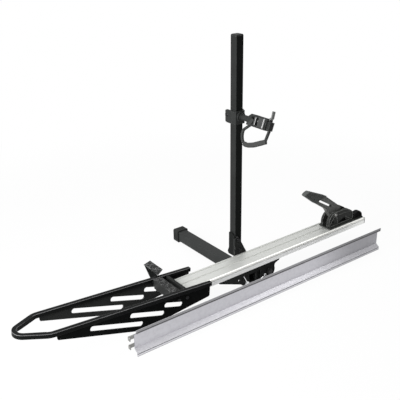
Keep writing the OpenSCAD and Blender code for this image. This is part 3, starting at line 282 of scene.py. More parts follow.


# a look has one surface group, a bump of (strength, distance), edge wear and painted sheen of (reach,
# amount, grain) and, on a long piece, a painted shade of (start, end, first, last) along X


def newLook(name, group, values, metal, shine, bump, wear=None, shade=None):
    look = bpy.data.materials.new(name)
    tree = freshTree(look)
    surface = useGroup(tree, group, values.keys(), values.values())
    colour = surface.outputs["Color"]
    if shade:
        faded = useGroup(tree, paintedLengthShade, ("Start", "End", "First", "Last"), shade)
        tree.links.new(colour, faded.inputs["Color"])
        colour = faded.outputs["Color"]
    if wear:
        edges = useGroup(tree, edgeWearAndSheen, ("Reach", "Amount", "Grain"), wear)
        tree.links.new(edges.outputs["Mask"], surface.inputs["Wear"])
    relief = {"Strength": bump[0], "Distance": bump[1], "Height": surface.outputs["Height"]}
    shader = addNode(tree, "ShaderNodeBsdfPrincipled", {
        "Base Color": colour, "Metallic": metal, "Roughness": surface.outputs["Roughness"],
        "Specular IOR Level": shine, "Normal": addNode(tree, "ShaderNodeBump", relief),
    })
    addNode(tree, "ShaderNodeOutputMaterial", {"Surface": shader})
    return look


def grey(value):
    return (value, value, value, 1)


# the lighter broken edges of these paints are partly wear and partly painted highlight along the edges
def paint(name, tone, wornAndSheen=0.3, rough=0.34, peel=620.0, cloud=0.4, shine=0.03, metal=0.0,
          bump=(0.16, 0.0004), wear=(0.0014, 0.8, 90.0), shade=None):
    values = {"Paint": (*tone, 1), "Worn": grey(wornAndSheen), "Roughness": rough, "Peel": peel, "Cloud": cloud}
    return newLook(name, powderCoat, values, metal, shine, bump, wear, shade)


def moulded(name, tone, rubbed=0.3, rough=0.42, grain=1500.0, shine=0.14,
            bump=(0.22, 0.0003), wear=(0.0012, 0.6, 200.0)):
    values = {"Plastic": (*tone, 1), "Rubbed": grey(rubbed), "Roughness": rough, "Grain": grain}
    return newLook(name, mouldGrain, values, 0.0, shine, bump, wear)


def drawn(name, tone, dull, rough=0.42, lines=0.55, mottle=0.3, metal=0.88, shine=0.5,
          bump=(0.14, 0.0003), shade=None):
    values = {"Tone": (*tone, 1), "Dull": (*dull, 1), "Roughness": rough, "Lines": lines, "Mottle": mottle}
    return newLook(name, drawnAlloy, values, metal, shine, bump, shade=shade)


# the black paint's lighter edges are partly worn paint and partly painted highlight along the tubes' edges
blackPaint = paint("satinBlackPaint", (0.0185, 0.0193, 0.0188), wornAndSheen=0.42)
# painted shade: a darker copy of the black paint for the near cheek, whose far twin keeps the plain black
# paint
cheekPaintedShade = paint("cheekPaintedShade", (0.0035, 0.0039, 0.0038), rough=0.40, cloud=0.7, shine=0.02,
                   wear=(0.0012, 0.6, 110.0))
# painted shade: a darker copy of the black paint for the bracket's near plate, lighter towards -X and
# darker towards +X as painted light along its length
platePaintedShade = paint("platePaintedShade", (0.0125, 0.0135, 0.0132), rough=0.38, cloud=0.7,
                   wear=(0.0016, 0.7, 110.0), shade=(-0.12, 0.08, 1.5, 0.6))
# painted shade: a much darker copy of the black paint for the hoop's tube
hoopPaintedShade = paint("hoopPaintedShade", (0.0034, 0.0038, 0.0037), wornAndSheen=0.2, rough=0.28, cloud=0.3, shine=0.05,
                  bump=(0.14, 0.0004), wear=(0.0010, 0.4, 90.0))
# painted highlight: lighter paint for the hoop's broken upper edges
hoopPaintedHighlight = paint("hoopEdgePaintedHighlight", (0.09, 0.09, 0.091), wornAndSheen=0.4, rough=0.30, cloud=0.5, shine=0.10,
                 bump=(0.14, 0.0004), wear=(0.0010, 0.4, 60.0))
bandPaint = paint("bandPaint", (0.0205, 0.0212, 0.0208), wornAndSheen=0.36, cloud=0.15)
footPaint = paint("mastFootPaint", (0.0098, 0.0104, 0.0101), cloud=0.5)
# painted shade: a darker copy of the black paint for the mast's near faces
mastShadedFace = paint("mastFacePaintedShade", (0.0068, 0.0075, 0.0070), wornAndSheen=0.42, shine=0.02)
darkPaint = paint("darkSteelPaint", (0.014, 0.015, 0.0145), wornAndSheen=0.2, rough=0.44, peel=520.0, cloud=0.6,
                  bump=(0.2, 0.0004), wear=(0.0012, 0.6, 160.0))
barPaint = paint("greyBarPaint", (0.027, 0.0285, 0.028), rough=0.42, peel=560.0, shine=0.04,
                 bump=(0.2, 0.0004), wear=(0.0012, 0.5, 160.0))
weldPaint = paint("paintedWeld", (0.016, 0.017, 0.0165), wornAndSheen=0.1, rough=0.36, peel=700.0, cloud=0.7,
                  shine=0.10, bump=(0.3, 0.0004), wear=(0.0008, 0.3, 260.0))
capPlastic = moulded("capPlastic", (0.020, 0.021, 0.0205), rubbed=0.09, rough=0.5, grain=1300.0,
                     shine=0.05, bump=(0.25, 0.0003), wear=(0.0012, 0.4, 300.0))
clampPlastic = moulded("clampNylon", (0.019, 0.020, 0.0195), rubbed=0.16, rough=0.4, grain=1600.0,
                       shine=0.08, bump=(0.2, 0.0003), wear=(0.0010, 0.6, 220.0))
glossNylon = moulded("glossNylon", (0.022, 0.023, 0.0225), rubbed=0.2, rough=0.24, grain=1700.0,
                     shine=0.5, bump=(0.12, 0.0003), wear=(0.0008, 0.5, 320.0))
# painted shade: near-black for sheets set where the cheeks' recesses fall in shade
recessPaintedShade = moulded("recessPaintedShade", (0.003, 0.003, 0.003), rubbed=0.02, rough=0.7, shine=0.02,
                      bump=(0.2, 0.0003), wear=(0.0008, 0.1, 300.0))
# painted highlight: lighter nylon for the raised rims on the wheel clamp's cheeks
ribHighlightPlastic = moulded("ribNylonPaintedHighlight", (0.095, 0.097, 0.092))
drumPlastic = moulded("drumNylon", (0.030, 0.031, 0.029), rubbed=0.26, shine=0.12,
                      wear=(0.0022, 1.0, 160.0))
wheelPlastic = moulded("wheelClampNylon", (0.021, 0.022, 0.0205), rubbed=0.2, shine=0.10)
blockPlastic = moulded("endBlockNylon", (0.008, 0.008, 0.008), rubbed=0.08, shine=0.03,
                       wear=(0.0010, 0.4, 200.0))
leverPlastic = moulded("leverNylon", (0.108, 0.110, 0.105))
gripRubber = moulded("gripRubber", (0.058, 0.061, 0.059), rubbed=0.14, rough=0.62, grain=1100.0,
                     bump=(0.5, 0.0004), wear=(0.0014, 0.4, 200.0))
strapRubber = moulded("strapRubber", (0.022, 0.023, 0.0225), rubbed=0.14, rough=0.55, grain=1200.0,
                      shine=0.2, bump=(0.4, 0.0003), wear=(0.0010, 0.5, 220.0))
padRubber = moulded("padRubber", (0.020, 0.021, 0.020), rubbed=0.2, rough=0.6, grain=900.0, shine=0.3,
                    bump=(0.5, 0.0004), wear=(0.001, 0.4, 220.0))
greyNylon = moulded("greyNylon", (0.10, 0.103, 0.10), shine=0.4, bump=(0.15, 0.0003),
                    wear=(0.0008, 0.4, 300.0))
trayAlloy = drawn("anodisedTray", (0.62, 0.63, 0.605), (0.54, 0.545, 0.525), rough=0.44, lines=0.6,
                  mottle=0.22, bump=(0.12, 0.0003))
# painted light and shade: copies of the tray's anodising, darker for the top, lighter for the near side's
# flat and near-white for the ridge as painted highlight
trayTopShaded = drawn("anodisedTrayTopPaintedShade", (0.46, 0.467, 0.45), (0.40, 0.405, 0.39), rough=0.5, lines=0.6,
                mottle=0.22, metal=0.45, shine=0.4, bump=(0.12, 0.0003))
trayRidgeHighlight = drawn("anodisedTrayRidgePaintedHighlight", (0.97, 0.97, 0.93), (0.9, 0.9, 0.86), rough=0.5, lines=0.4,
                  mottle=0.15, metal=0.2, bump=(0.1, 0.0003))
traySidePaintedLight = drawn("anodisedTraySidePaintedLight", (0.94, 0.95, 0.93), (0.84, 0.85, 0.83), rough=0.48, lines=0.5,
                 mottle=0.2, metal=0.55, bump=(0.12, 0.0003))
# painted light and shade: the ramp's mill finish in darker and lighter copies for its web, flange, rim,
# edge and groove, all but the groove darker towards +X as painted falloff of the light
rampAlloy = drawn("millRamp", (0.60, 0.595, 0.63), (0.50, 0.495, 0.53), rough=0.40, mottle=0.45,
                  shade=(0.22, 0.58, 1.0, 0.56))
rampFlangeShaded = drawn("millRampFlangePaintedShade", (0.45, 0.447, 0.47), (0.38, 0.377, 0.40), metal=0.8,
                   shade=(0.22, 0.58, 1.0, 0.72))
rampRimLit = drawn("millRampRimPaintedLight", (0.67, 0.667, 0.70), (0.58, 0.577, 0.61), shade=(0.22, 0.58, 1.0, 0.72))
rampGrooveShaded = drawn("millRampGroovePaintedShade", (0.04, 0.04, 0.042), (0.03, 0.03, 0.032), rough=0.6, lines=0.5,
                   metal=0.6, shine=0.2)
rampEdgeShaded = drawn("millRampEdgePaintedShade", (0.30, 0.298, 0.31), (0.25, 0.248, 0.26), rough=0.44,
                 shade=(0.22, 0.58, 1.0, 0.66))
zincPlate = drawn("brightZinc", (0.78, 0.79, 0.80), (0.6, 0.61, 0.62), rough=0.26, lines=0.3,
                  mottle=0.35, metal=1.0, bump=(0.1, 0.0002))
blackZinc = paint("blackZinc", (0.016, 0.016, 0.017), rough=0.3, peel=900.0, cloud=0.6, shine=0.3,
                  metal=0.6, bump=(0.1, 0.0002), wear=(0.0009, 0.7, 300.0))
boltSteel = drawn("boltSteel", (0.30, 0.30, 0.29), (0.2, 0.2, 0.19), rough=0.4, lines=0.3, mottle=0.4,
                  metal=0.8, shine=0.4, bump=(0.12, 0.0002))
print("materials made:", len(bpy.data.materials))

# bevel along some edges, with the same round profile everywhere


def breakEdges(bm, edges, radius, segments, clamp=True, slide=False):
    bmesh.ops.bevel(bm, geom=edges, offset=radius, offset_type="OFFSET", segments=segments, profile=0.5,
                    affect="EDGES", clamp_overlap=clamp, loop_slide=slide, material=-1)


def sharpEdges(edges, angle):
    return [e for e in edges if e.is_manifold and e.calc_face_angle(0) > radians(angle)]


def addPiece(name, bm, look, body, instead):
    mesh = bpy.data.meshes.new(name)
    bm.to_mesh(mesh)
    bm.free()
    mesh.materials.append(look)
    piece = bpy.data.objects.new(name, mesh)
    bpy.context.scene.collection.objects.link(piece)
    piece.modifiers.new("even", "WEIGHTED_NORMAL").keep_sharp = True
    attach(piece, body)
    for node in instead:
        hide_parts(node)
    return piece


def newPiece(name, bm, look, body, *instead, merge=1e-6, sharp=35):
    bmesh.ops.remove_doubles(bm, verts=bm.verts, dist=merge)
    bmesh.ops.recalc_face_normals(bm, faces=bm.faces)
    for face in bm.faces:
        face.smooth = True
    for edge in sharpEdges(bm.edges, sharp):
        edge.smooth = False
    return addPiece(name, bm, look, body, instead)


# a CAD node's copy, merged, with its sharp edges broken like the real part's

copySettings = {"merge": 2e-6, "flat": 0.4, "sharp": 24, "segments": 2}


def softCopy(name, radius, look, clamp):
    s = copySettings
    bm = bmesh.new()
    bm.from_mesh(frame["nodes"][name].data)
    bmesh.ops.remove_doubles(bm, verts=bm.verts, dist=s["merge"])
    bmesh.ops.dissolve_limit(bm, angle_limit=radians(s["flat"]), use_dissolve_boundaries=False,
                             verts=bm.verts, edges=bm.edges, delimit=set())
    breakEdges(bm, sharpEdges(bm.edges, s["sharp"]), radius, s["segments"], clamp, slide=True)
    for face in bm.faces:
        face.smooth = True
    addPiece(name + "_part", bm, look, frame["nodes"][name]["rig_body"], [name])


# radius of the broken edges in mm, and the finish, for each piece that keeps its CAD form
softPieces = {
    "receiver_bar": (0.8, barPaint), "receiver_cap": (1.2, capPlastic), "head_plate_near": (0.8, darkPaint),
    "head_plate_far": (0.8, darkPaint), "pivot_sleeve": (0.6, darkPaint),
    "bracket_near_plate": (0.9, platePaintedShade), "bracket_far_plate": (0.9, blackPaint),
    "bracket_flange": (0.8, blackPaint), "stop_pin": (0.6, zincPlate), "wheel_tray": (0.5, trayAlloy),
    "tray_end_cap": (0.8, capPlastic), "tray_end_bar": (0.9, darkPaint), "mast": (0.6, blackPaint),
    "mast_side_plate": (0.9, footPaint), "cradle_hoop": (1.6, hoopPaintedShade),
    "cradle_near_cheek": (0.8, cheekPaintedShade), "cradle_far_cheek": (0.8, blackPaint),
    "cradle_cross_band": (0.5, bandPaint), "cradle_saddle": (0.8, darkPaint),
    "side_wing": (0.4, blackPaint), "wing_leg": (0.7, darkPaint), "clamp_collar": (1.4, clampPlastic),
    "clamp_arm": (1.0, clampPlastic), "buckle_shell": (1.0, clampPlastic), "buckle_lever": (0.8, greyNylon),
    "buckle_pawl": (0.5, greyNylon), "buckle_pins": (0.4, zincPlate), "ladder_strap": (0.8, clampPlastic),
    "strap_loop": (1.2, strapRubber), "strap_pad": (2.0, padRubber),
    "wheel_clamp_foot": (0.8, wheelPlastic), "wheel_clamp_cheeks": (0.9, wheelPlastic),
    "toothed_drum": (0.5, drumPlastic), "clamp_lever": (1.6, leverPlastic),
    "lever_grip": (3.0, gripRubber), "clamp_end_block": (0.9, blockPlastic),
    "ramp_hooks": (0.5, boltSteel),
}
for node, (radius, look) in softPieces.items():
    softCopy(node, radius * mm, look, clamp=node != "cradle_hoop")
print("soft copies made:", len(softPieces))

# lit and shaded copies of a finish on single faces, picked by the way that they look and where they are, in
# metres: painted light and shade

finishSettings = {"facing": 0.9, "ridgeNear": -0.503, "ridgeLow": 0.0722, "flatNear": -0.5105,
                  "flatHigh": 0.0675, "hoopHighlightTilt": (0.3, 0.96)}


def finishFaces(part, looks, slotFor):
    for look in looks:
        part.data.materials.append(look)
    for face in part.data.polygons:
        face.material_index = slotFor(face)


# slots for the top (a darker, less metallic copy: painted shade), the flat of the near side (a lighter
# copy: painted light) and the ridge (painted highlight)
def trayLightSlot(face):
    s, y, z = finishSettings, face.center.y, face.center.z
    if y < s["ridgeNear"] and z > s["ridgeLow"]:
        return 3
    if face.normal.z > s["facing"]:
        return 1
    return 2 if face.normal.y < -s["facing"] and y < s["flatNear"] and z < s["flatHigh"] else 0


# painted shade: the mast's near faces take the darker paint
def mastShadeSlot(face):
    return 1 if face.normal.y < -finishSettings["facing"] else 0


# painted highlight: the broken upper edges of the hoop's tube get a lighter paint in place of the light
# that they catch
def hoopHighlightSlot(face):
    low, high = finishSettings["hoopHighlightTilt"]
    return 1 if low < face.normal.z < high else 0


finishFaces(bpy.data.objects["wheel_tray_part"], (trayTopShaded, traySidePaintedLight, trayRidgeHighlight), trayLightSlot)
finishFaces(bpy.data.objects["mast_part"], (mastShadedFace,), mastShadeSlot)
finishFaces(bpy.data.objects["cradle_hoop_part"], (hoopPaintedHighlight,), hoopHighlightSlot)
print("single faces finished")

# places in millimetres from the mast's centre, like the measurements of the rack


def at(x, y, z):
    return Vector((x, y - 380, z)) * mm


def along(x, y, z, axis):
    turn = Vector(axis).to_track_quat("Z", "Y").to_matrix().to_4x4()
    return Matrix.Translation(at(x, y, z)) @ turn


def tilted(x, y, z, turn, axis):
    return Matrix.Translation(at(x, y, z)) @ Matrix.Rotation(radians(turn), 4, axis)


def shifted(place, x, y, z):
    return place @ Matrix.Translation(Vector((x, y, z)) * mm)


inCradle = tilted(-250, -78.9, 94.5, 4.39, "Y")
inHead = tilted(0, 0, 731, 21, "Y")
inLever = tilted(555, -78.9, 143, 39.5, "Y")
inRamp = tilted(-690, -222, 19, -0.6, "Z")
rowPlace = Matrix.Translation(at(0, 0, 0))

# solid between rings of points, the rings in mm


def loft(bm, rings, place, capped=True):
    made = [[bm.verts.new(place @ (Vector(p) * mm)) for p in ring] for ring in rings]
    count = len(rings[0])
    faces = []
    for low, high in zip(made, made[1:]):
        for i in range(count):
            j = (i + 1) % count
            faces.append(bm.faces.new((low[i], low[j], high[j], high[i])))
    if capped:
        faces.append(bm.faces.new(list(reversed(made[0]))))
        faces.append(bm.faces.new(made[-1]))
    return faces


def circleRing(r, z, steps=32):
    return [(r * cos(2 * pi * i / steps), r * sin(2 * pi * i / steps), z) for i in range(steps)]


# rings of a turned form, from its profile of (radius, height)
def turnedRings(profile, steps):
    return [circleRing(r, z, steps) for r, z in profile]


def hexRing(across, z, steps=48, cap=None, drop=0.577):
    ring = []
    for i in range(steps):
        a = 2 * pi * i / steps
        r = across / 2 / cos((a % (pi / 3)) - pi / 6)
        down = 0 if cap is None else max(0.0, r - cap) * drop
        ring.append((r * cos(a), r * sin(a), z - down))
    return ring


# hexagon head whose corners are turned off by a cone


def hexBlock(bm, place, across, height, crown=0.97, steps=48):
    cap = across / 2 * crown
    rings = [hexRing(across, 0), hexRing(across, height, cap=cap)]
    rings += turnedRings([(cap * 0.985, height), (cap * 0.72, height + 0.02)], steps)
    loft(bm, rings, place)


# rod with a helical thread from one height to another, and a turned-down end


def threadedRod(bm, place, d, start, threadFrom, end, pitch, steps=26):
    r = d / 2
    rings = turnedRings([(r * 0.98, start), (r, threadFrom - 0.3)], steps)
    count = max(4, int((end - threadFrom) / pitch * 6))
    for k in range(count + 1):
        z = threadFrom + (end - threadFrom) * k / count
        ring = []
        for i in range(steps):
            turn = (z / pitch - i / steps) % 1
            deep = pitch * 0.55 * (1 - abs(2 * turn - 1))
            rr = min(r - deep, r - max(0.0, z - end + pitch) * 0.6)
            ring.append((rr * cos(2 * pi * i / steps), rr * sin(2 * pi * i / steps), z))
        rings.append(ring)
    rings.append(circleRing(r - pitch * 0.95, end + 0.02, steps))
    loft(bm, rings, place)


def washer(bm, place, inner, outer, thick, steps=40):
    profile = [(inner, 0), (outer - 0.3, 0), (outer, 0.3), (outer, thick - 0.4), (outer - 0.4, thick),
               (inner, thick), (inner, 0)]
    loft(bm, turnedRings(profile, steps), place, capped=False)


# round section swept along points, its radius changed by a function of the distance


def sweep(bm, points, radius, place=rowPlace, steps=10, swell=None):
    path = [Vector(p) for p in points]
    rings = []
    gone = 0.0
    aside = None
    for i, p in enumerate(path):
        ahead = (path[min(i + 1, len(path) - 1)] - path[max(i - 1, 0)]).normalized()
        if aside is None:
            aside = ahead.orthogonal().normalized()
        aside = (aside - ahead * aside.dot(ahead)).normalized()
        up = ahead.cross(aside)
        if i:
            gone += (p - path[i - 1]).length
        r = radius * (swell(gone) if swell else 1.0)
        rings.append([tuple(p + (aside * cos(2 * pi * k / steps) + up * sin(2 * pi * k / steps)) * r)
                      for k in range(steps)])
    loft(bm, rings, place)


def resample(points, step):
    path = [Vector(p) for p in points]
    made = [path[0]]
    for a, b in zip(path, path[1:]):
        count = max(1, int((b - a).length / step))
        made += [a.lerp(b, (i + 1) / count) for i in range(count)]
    return made


# raised bead in steps along a line, growing from its start over a reach
def rib(bm, points, radius, place=rowPlace, step=3, reach=None, whole=None, least=0.3, steps=8):
    def swell(d):
        back = least + (whole - d) / reach if whole else 1
        return min(1, least + d / reach, back)
    path = resample(points, step) if step else points
    sweep(bm, path, radius, place, steps, swell if reach else None)


# smooth curve through points
def smoothPath(points, per=6):
    p = [Vector(q) for q in points]
    p = [p[0] * 2 - p[1]] + p + [p[-1] * 2 - p[-2]]
    made = []
    for i in range(1, len(p) - 2):
        for k in range(per):
            t = k / per
            a, b, c, d = p[i - 1], p[i], p[i + 1], p[i + 2]
            made.append(0.5 * (2 * b + (c - a) * t + (2 * a - 5 * b + 4 * c - d) * t * t
                               + (3 * b - a - 3 * c + d) * t ** 3))
    made.append(p[-2])
    return made


# weld bead: overlapping drops along a line, smaller at its two ends


def weldBead(bm, points, radius, place=rowPlace, pitch=3.2):
    path = resample(points, 0.8)
    whole = sum((b - a).length for a, b in zip(path, path[1:]))

    def swell(s):
        drop = 1 + 0.13 * cos(2 * pi * s / pitch)
        return drop * min(1.0, 0.45 + 0.25 * min(s, whole - s))
    sweep(bm, path, radius, place, steps=8, swell=swell)


def placeNew(bm, before, place, scale=1.0):
    for v in bm.verts:
        if v not in before:
            v.co = place @ (v.co * scale)


# box with rounded edges between two corners, in mm
def softBox(bm, low, high, edge, place=rowPlace, segments=2):
    before = set(bm.verts)
    made = bmesh.ops.create_cube(bm, size=1)["verts"]
    size = Vector(high) - Vector(low)
    centre = (Vector(high) + Vector(low)) / 2
    for v in made:
        v.co = centre + v.co * size
    breakEdges(bm, list(dict.fromkeys(e for v in made for e in v.link_edges)), edge, segments)
    placeNew(bm, before, place, mm)


# outline in two axes made solid along the third, with its edges broken
def prism(bm, outline, low, high, place=rowPlace, edge=0.0, plane="xz", segments=2, sharp=20):
    before = set(bm.verts)
    order = {"xz": (0, 2, 1), "xy": (0, 1, 2), "yz": (2, 0, 1)}[plane]
    rings = [[tuple((u, v, w)[i] for i in order) for u, v in outline] for w in (low, high)]
    faces = loft(bm, rings, Matrix.Identity(4))
    if edge:
        edges = dict.fromkeys(e for f in faces for e in f.edges)
        breakEdges(bm, sharpEdges(edges, sharp), edge * mm, segments)
    placeNew(bm, before, place)


def arcPoints(cx, cz, r, a0, a1, n=12):
    turns = [radians(a0 + (a1 - a0) * i / n) for i in range(n + 1)]
    return [(cx + r * cos(a), cz + r * sin(a)) for a in turns]


def fullTurn(steps):
    return [2 * pi * i / steps for i in range(steps + 1)]


def circlePath(cx, cz, r, y, steps=40):
    return [(cx + r * cos(a), y, cz + r * sin(a)) for a in fullTurn(steps)]


def roundSquare(half, corner, n):
    points = []
    for cx, cz, a in ((1, 1, 0), (-1, 1, 90), (-1, -1, 180), (1, -1, 270)):
        points += arcPoints(cx * (half - corner), cz * (half - corner), corner, a, a + 90, n)
    return points


def squarePath(half, y, corner=4):
    path = [(x, y, z) for x, z in roundSquare(half, corner, 5)]
    return path + [path[0]]


# bolts and nuts: each place is where the head or nut sits, and way is where it looks out

fastenerSets = {
    "pivotBolt": {"node": "pivot_bolt", "look": blackZinc, "across": 24, "head": 10, "d": 16, "pitch": 2.0,
                  "shank": 128.0, "thread": 30, "way": (0, -1, 0), "places": [(91.3, -131.05, 6.7)]},
    "mastBolt": {"node": "mast_bolts", "look": blackZinc, "across": 16, "head": 6, "d": 10, "pitch": 1.5,
                 "shank": 58.1, "thread": 16, "way": (0, -1, 0),
                 "places": [(-4, -25.05, 153), (3, -25.05, 100)]},
    "bracketBolt": {"node": "bracket_bolts", "look": zincPlate, "across": 13, "head": 5, "d": 8,
                    "pitch": 1.25, "shank": 10.8, "thread": 5, "nut": 6, "way": (0, 0, -1),
                    "places": [(x, -78.9, 43) for x in (-160, -70, 60, 130)]},
    "pivotNut": {"node": "pivot_nut", "look": blackZinc, "across": 24, "height": 13, "d": 16.1,
                 "way": (0, 1, 0), "places": [(91.3, -19.05, 6.7)]},
    "mastNut": {"node": "mast_nuts", "look": blackZinc, "across": 16, "height": 9, "d": 10.1,
                "way": (0, 1, 0), "places": [(-4, 19.05, 153), (3, 19.05, 100)]},
}


def boltWithHead(bm, place, s):
    washer(bm, place, s["d"] / 2, s["across"] * 0.5, 0.9)
    hexBlock(bm, shifted(place, 0, 0, 0.8), s["across"] * 0.96, s["head"] - 0.8)
    back = place @ Matrix.Rotation(pi, 4, "X")
    threadedRod(bm, back, s["d"], -0.5, s["shank"] - s["thread"], s["shank"], s["pitch"])
    if "nut" in s:
        nutWithCollar(bm, shifted(back, 0, 0, s["shank"] - 1), s["across"], s["nut"], s["d"] + 0.1)


def nutWithCollar(bm, place, across, height, d, steps=48):
    cap = across / 2 * 0.97
    rings = turnedRings([(d / 2, 0), (cap * 0.98, 0)], steps)
    rings += [hexRing(across * 0.96, 0.4, cap=cap, drop=-0.577),
              hexRing(across * 0.96, height * 0.72, cap=cap)]
    rings += turnedRings([(cap * 0.93, height * 0.74), (cap * 0.86, height * 0.95), (cap * 0.76, height),
                          (d / 2 + 0.2, height), (d / 2, height * 0.9), (d / 2, 0)], steps)
    loft(bm, rings, place, capped=False)


for name, s in fastenerSets.items():
    bm = bmesh.new()
    for spot in s["places"]:
        place = along(*spot, s["way"])
        if "head" in s:
            boltWithHead(bm, place, s)
        else:
            nutWithCollar(bm, place, s["across"], s["height"], s["d"])
    newPiece(name, bm, s["look"], "tilt_frame", s["node"])
print("bolts and nuts made")

# bolts through the cradle's side plates

cradleBoltSettings = {
    "rows": (139.4, 180), "depth": -39, "face": 78.5, "inner": 70.5, "nut": (13, 6, 8.1),
    "bolt": {"across": 13, "head": 5, "d": 8, "shank": 15, "thread": 8, "pitch": 1.25},
}


def buildCradleBolts(s):
    bolts, nuts = bmesh.new(), bmesh.new()
    for row in s["rows"]:
        for side in (-1, 1):
            outside = shifted(inCradle, -row, side * s["face"], s["depth"])
            boltWithHead(bolts, outside @ Matrix.Rotation(-side * pi / 2, 4, "X"), s["bolt"])
    for side in (-1, 1):
        inside = shifted(inCradle, -s["rows"][1], side * s["inner"], s["depth"])
        nutWithCollar(nuts, inside @ Matrix.Rotation(side * pi / 2, 4, "X"), *s["nut"])
    newPiece("cradleBolt", bolts, blackZinc, "tilt_frame", "cradle_bolts")
    newPiece("cradleNut", nuts, blackZinc, "tilt_frame", "cradle_nuts")


buildCradleBolts(cradleBoltSettings)
print("cradle bolts made")

# lock pin with its collar and groove, and the wire handle bent from one length

lockPinSettings = {
    "x": -46.6, "z": -5.3, "head": -141.05, "nose": -100.0, "wire": 2.0, "drop": 2,
    "front": [(5.5, 0.0), (8.6, 0.0), (9.4, 0.9), (9.4, 3.0), (7.6, 3.4), (7.6, 4.6), (9.4, 5.0),
              (9.4, 8.4), (8.8, 9.4), (6.0, 9.6), (6.0, 27.0), (5.2, 27.4), (5.2, 28.8), (6.0, 29.2)],
    "tip": [(6.0, 3.4), (5.6, 2.6), (3.7, 0.2), (3.2, 0)],
    "bends": [(-71, 2, 41), (-65, -1, 28), (-56, -2, 10), (-50, -1, -2), (-46.6, 0, -8.3), (-40, 0, -12),
              (-30, -1, -14), (-12, -1, -12), (12, 0, -9), (34, 0, -5), (46, 2, -2)],
}


def buildLockPin(s):
    bm = bmesh.new()
    whole = s["nose"] - s["head"]
    profile = s["front"] + [(r, whole - back) for r, back in s["tip"]]
    loft(bm, turnedRings(profile, 40), along(s["x"], s["head"], s["z"], (0, 1, 0)))
    newPiece("lockPin", bm, zincPlate, "lock_pin", "lock_pin")
    y = s["head"] - s["drop"]
    path = smoothPath([(x, y + out, z) for x, out, z in s["bends"]], 8)
    bm = bmesh.new()
    sweep(bm, path, s["wire"], steps=14, swell=lambda d: min(1.0, 0.75 + d))
    newPiece("pinWire", bm, zincPlate, "lock_pin", "pin_handle")


buildLockPin(lockPinSettings)
print("lock pin made")

# weld beads

weldSettings = {
    "head": 2.6, "bracket": 2.2, "cradle": 2.0, "fine": 1.8, "thin": 1.6, "brace": 1.5,
    "tube": 25.4, "plates": (-112, -38.05), "collar": -32.05, "sleeve": (91.3, 6.7, 13.5),
    "flange": ((-190, -36), (46, 148)), "stitch": 34, "gap": 52, "from": 40, "to": 690, "last": 706,
    "cheek": (78.7, 73.3, -18.2), "saddle": 67,
}


def buildWelds(s):
    head = bmesh.new()
    for y in (*s["plates"], s["collar"]):
        weldBead(head, squarePath(s["tube"], y), s["head"])
    for y in s["plates"]:
        weldBead(head, circlePath(*s["sleeve"], y), s["bracket"])
    newPiece("headWeld", head, weldPaint, "receiver")
    bracket = bmesh.new()
    for y in (-125.05, -25.05):
        for start, end in s["flange"]:
            weldBead(bracket, [(start, y, 43), (end, y, 43)], s["bracket"])
    weldBead(bracket, [(-25.05, -19.05, 78), (-25.05, -19.05, 162)], s["bracket"])
    weldBead(bracket, [(-21, 19.05, 112), (-21, 19.05, 172)], s["fine"])
    newPiece("bracketWeld", bracket, weldPaint, "tilt_frame")
    cradle = bmesh.new()
    outer, inner, z = s["cheek"]
    for side in (-1, 1):
        for start in range(s["from"], s["to"], s["stitch"] + s["gap"]):
            end = min(start + s["stitch"], s["last"])
            for back, y, size in ((0, outer, 1), (20, inner, 0.9)):
                row = [(-start - back, side * y, z), (-end - back, side * y, z)]
                weldBead(cradle, row, s["cradle"] * size, inCradle)
        y = side * s["saddle"]
        weldBead(cradle, [(-172, y, -3.6), (-208, y, -3.6)], s["fine"], inCradle)
        weldBead(cradle, [(-211.2, y, -6), (-211.2, y, -17)], s["thin"], inCradle)
    newPiece("cradleWeld", cradle, weldPaint, "tilt_frame")
    wing = bmesh.new()
    weldBead(wing, [(-180, 78.9, -87.3), (-145, 78.9, -87.3)], s["fine"], inCradle)
    for x in (-181.3, -143.7):
        weldBead(wing, [(x, 79, -86), (x, 79, -77)], s["thin"], inCradle)
    weldBead(wing, [(-180, 184.4, 6.7), (-145, 184.4, 6.7)], s["brace"], inCradle)
    newPiece("wingWeld", wing, weldPaint, "tilt_frame")


buildWelds(weldSettings)
print("welds made")

# pulled-over end cap of the bar: rolled rim, finger ridges, raised edge and moulding mark

capSettings = {
    "half": 32, "mouth": 419.95, "end": 463, "rim": 1.7, "rimIn": 0.6, "rimBack": 2.4, "ridge": 0.9,
    "ridges": 5, "first": 12, "pitch": 5, "reach": 17, "edgeIn": 9,
    "mark": [(7, 0), (7, 0.5), (6, 0.9), (2.2, 0.9), (2.0, 0.4)],
}


def buildCapTrim(s):
    bm = bmesh.new()
    half, reach = s["half"], s["reach"]
    sweep(bm, squarePath(half - s["rimIn"], s["mouth"] + s["rimBack"], 8), s["rim"])
    for k in range(s["ridges"]):
        y = s["mouth"] + s["first"] + k * s["pitch"]
        for side in (-half, half):
            for line in ([(side, y, -reach), (side, y, reach)], [(-reach, y, side), (reach, y, side)]):
                rib(bm, line, s["ridge"], reach=4, whole=2 * reach)
    sweep(bm, squarePath(half - s["edgeIn"], s["end"] - 0.1, 5), s["ridge"], steps=8)
    loft(bm, turnedRings(s["mark"], 36), along(0, s["end"], 0, (0, 1, 0)))
    newPiece("capTrim", bm, capPlastic, "bar_cap")


buildCapTrim(capSettings)
print("cap trim made")

# plugs in the open ends of the cradle's two rails

plugSettings = {"start": 17, "side": 76, "z": -9, "proud": 2.4, "half": 8.6, "round": 1.1, "bar": (5, 0.6),
                "barRound": 0.4, "pitch": 4}


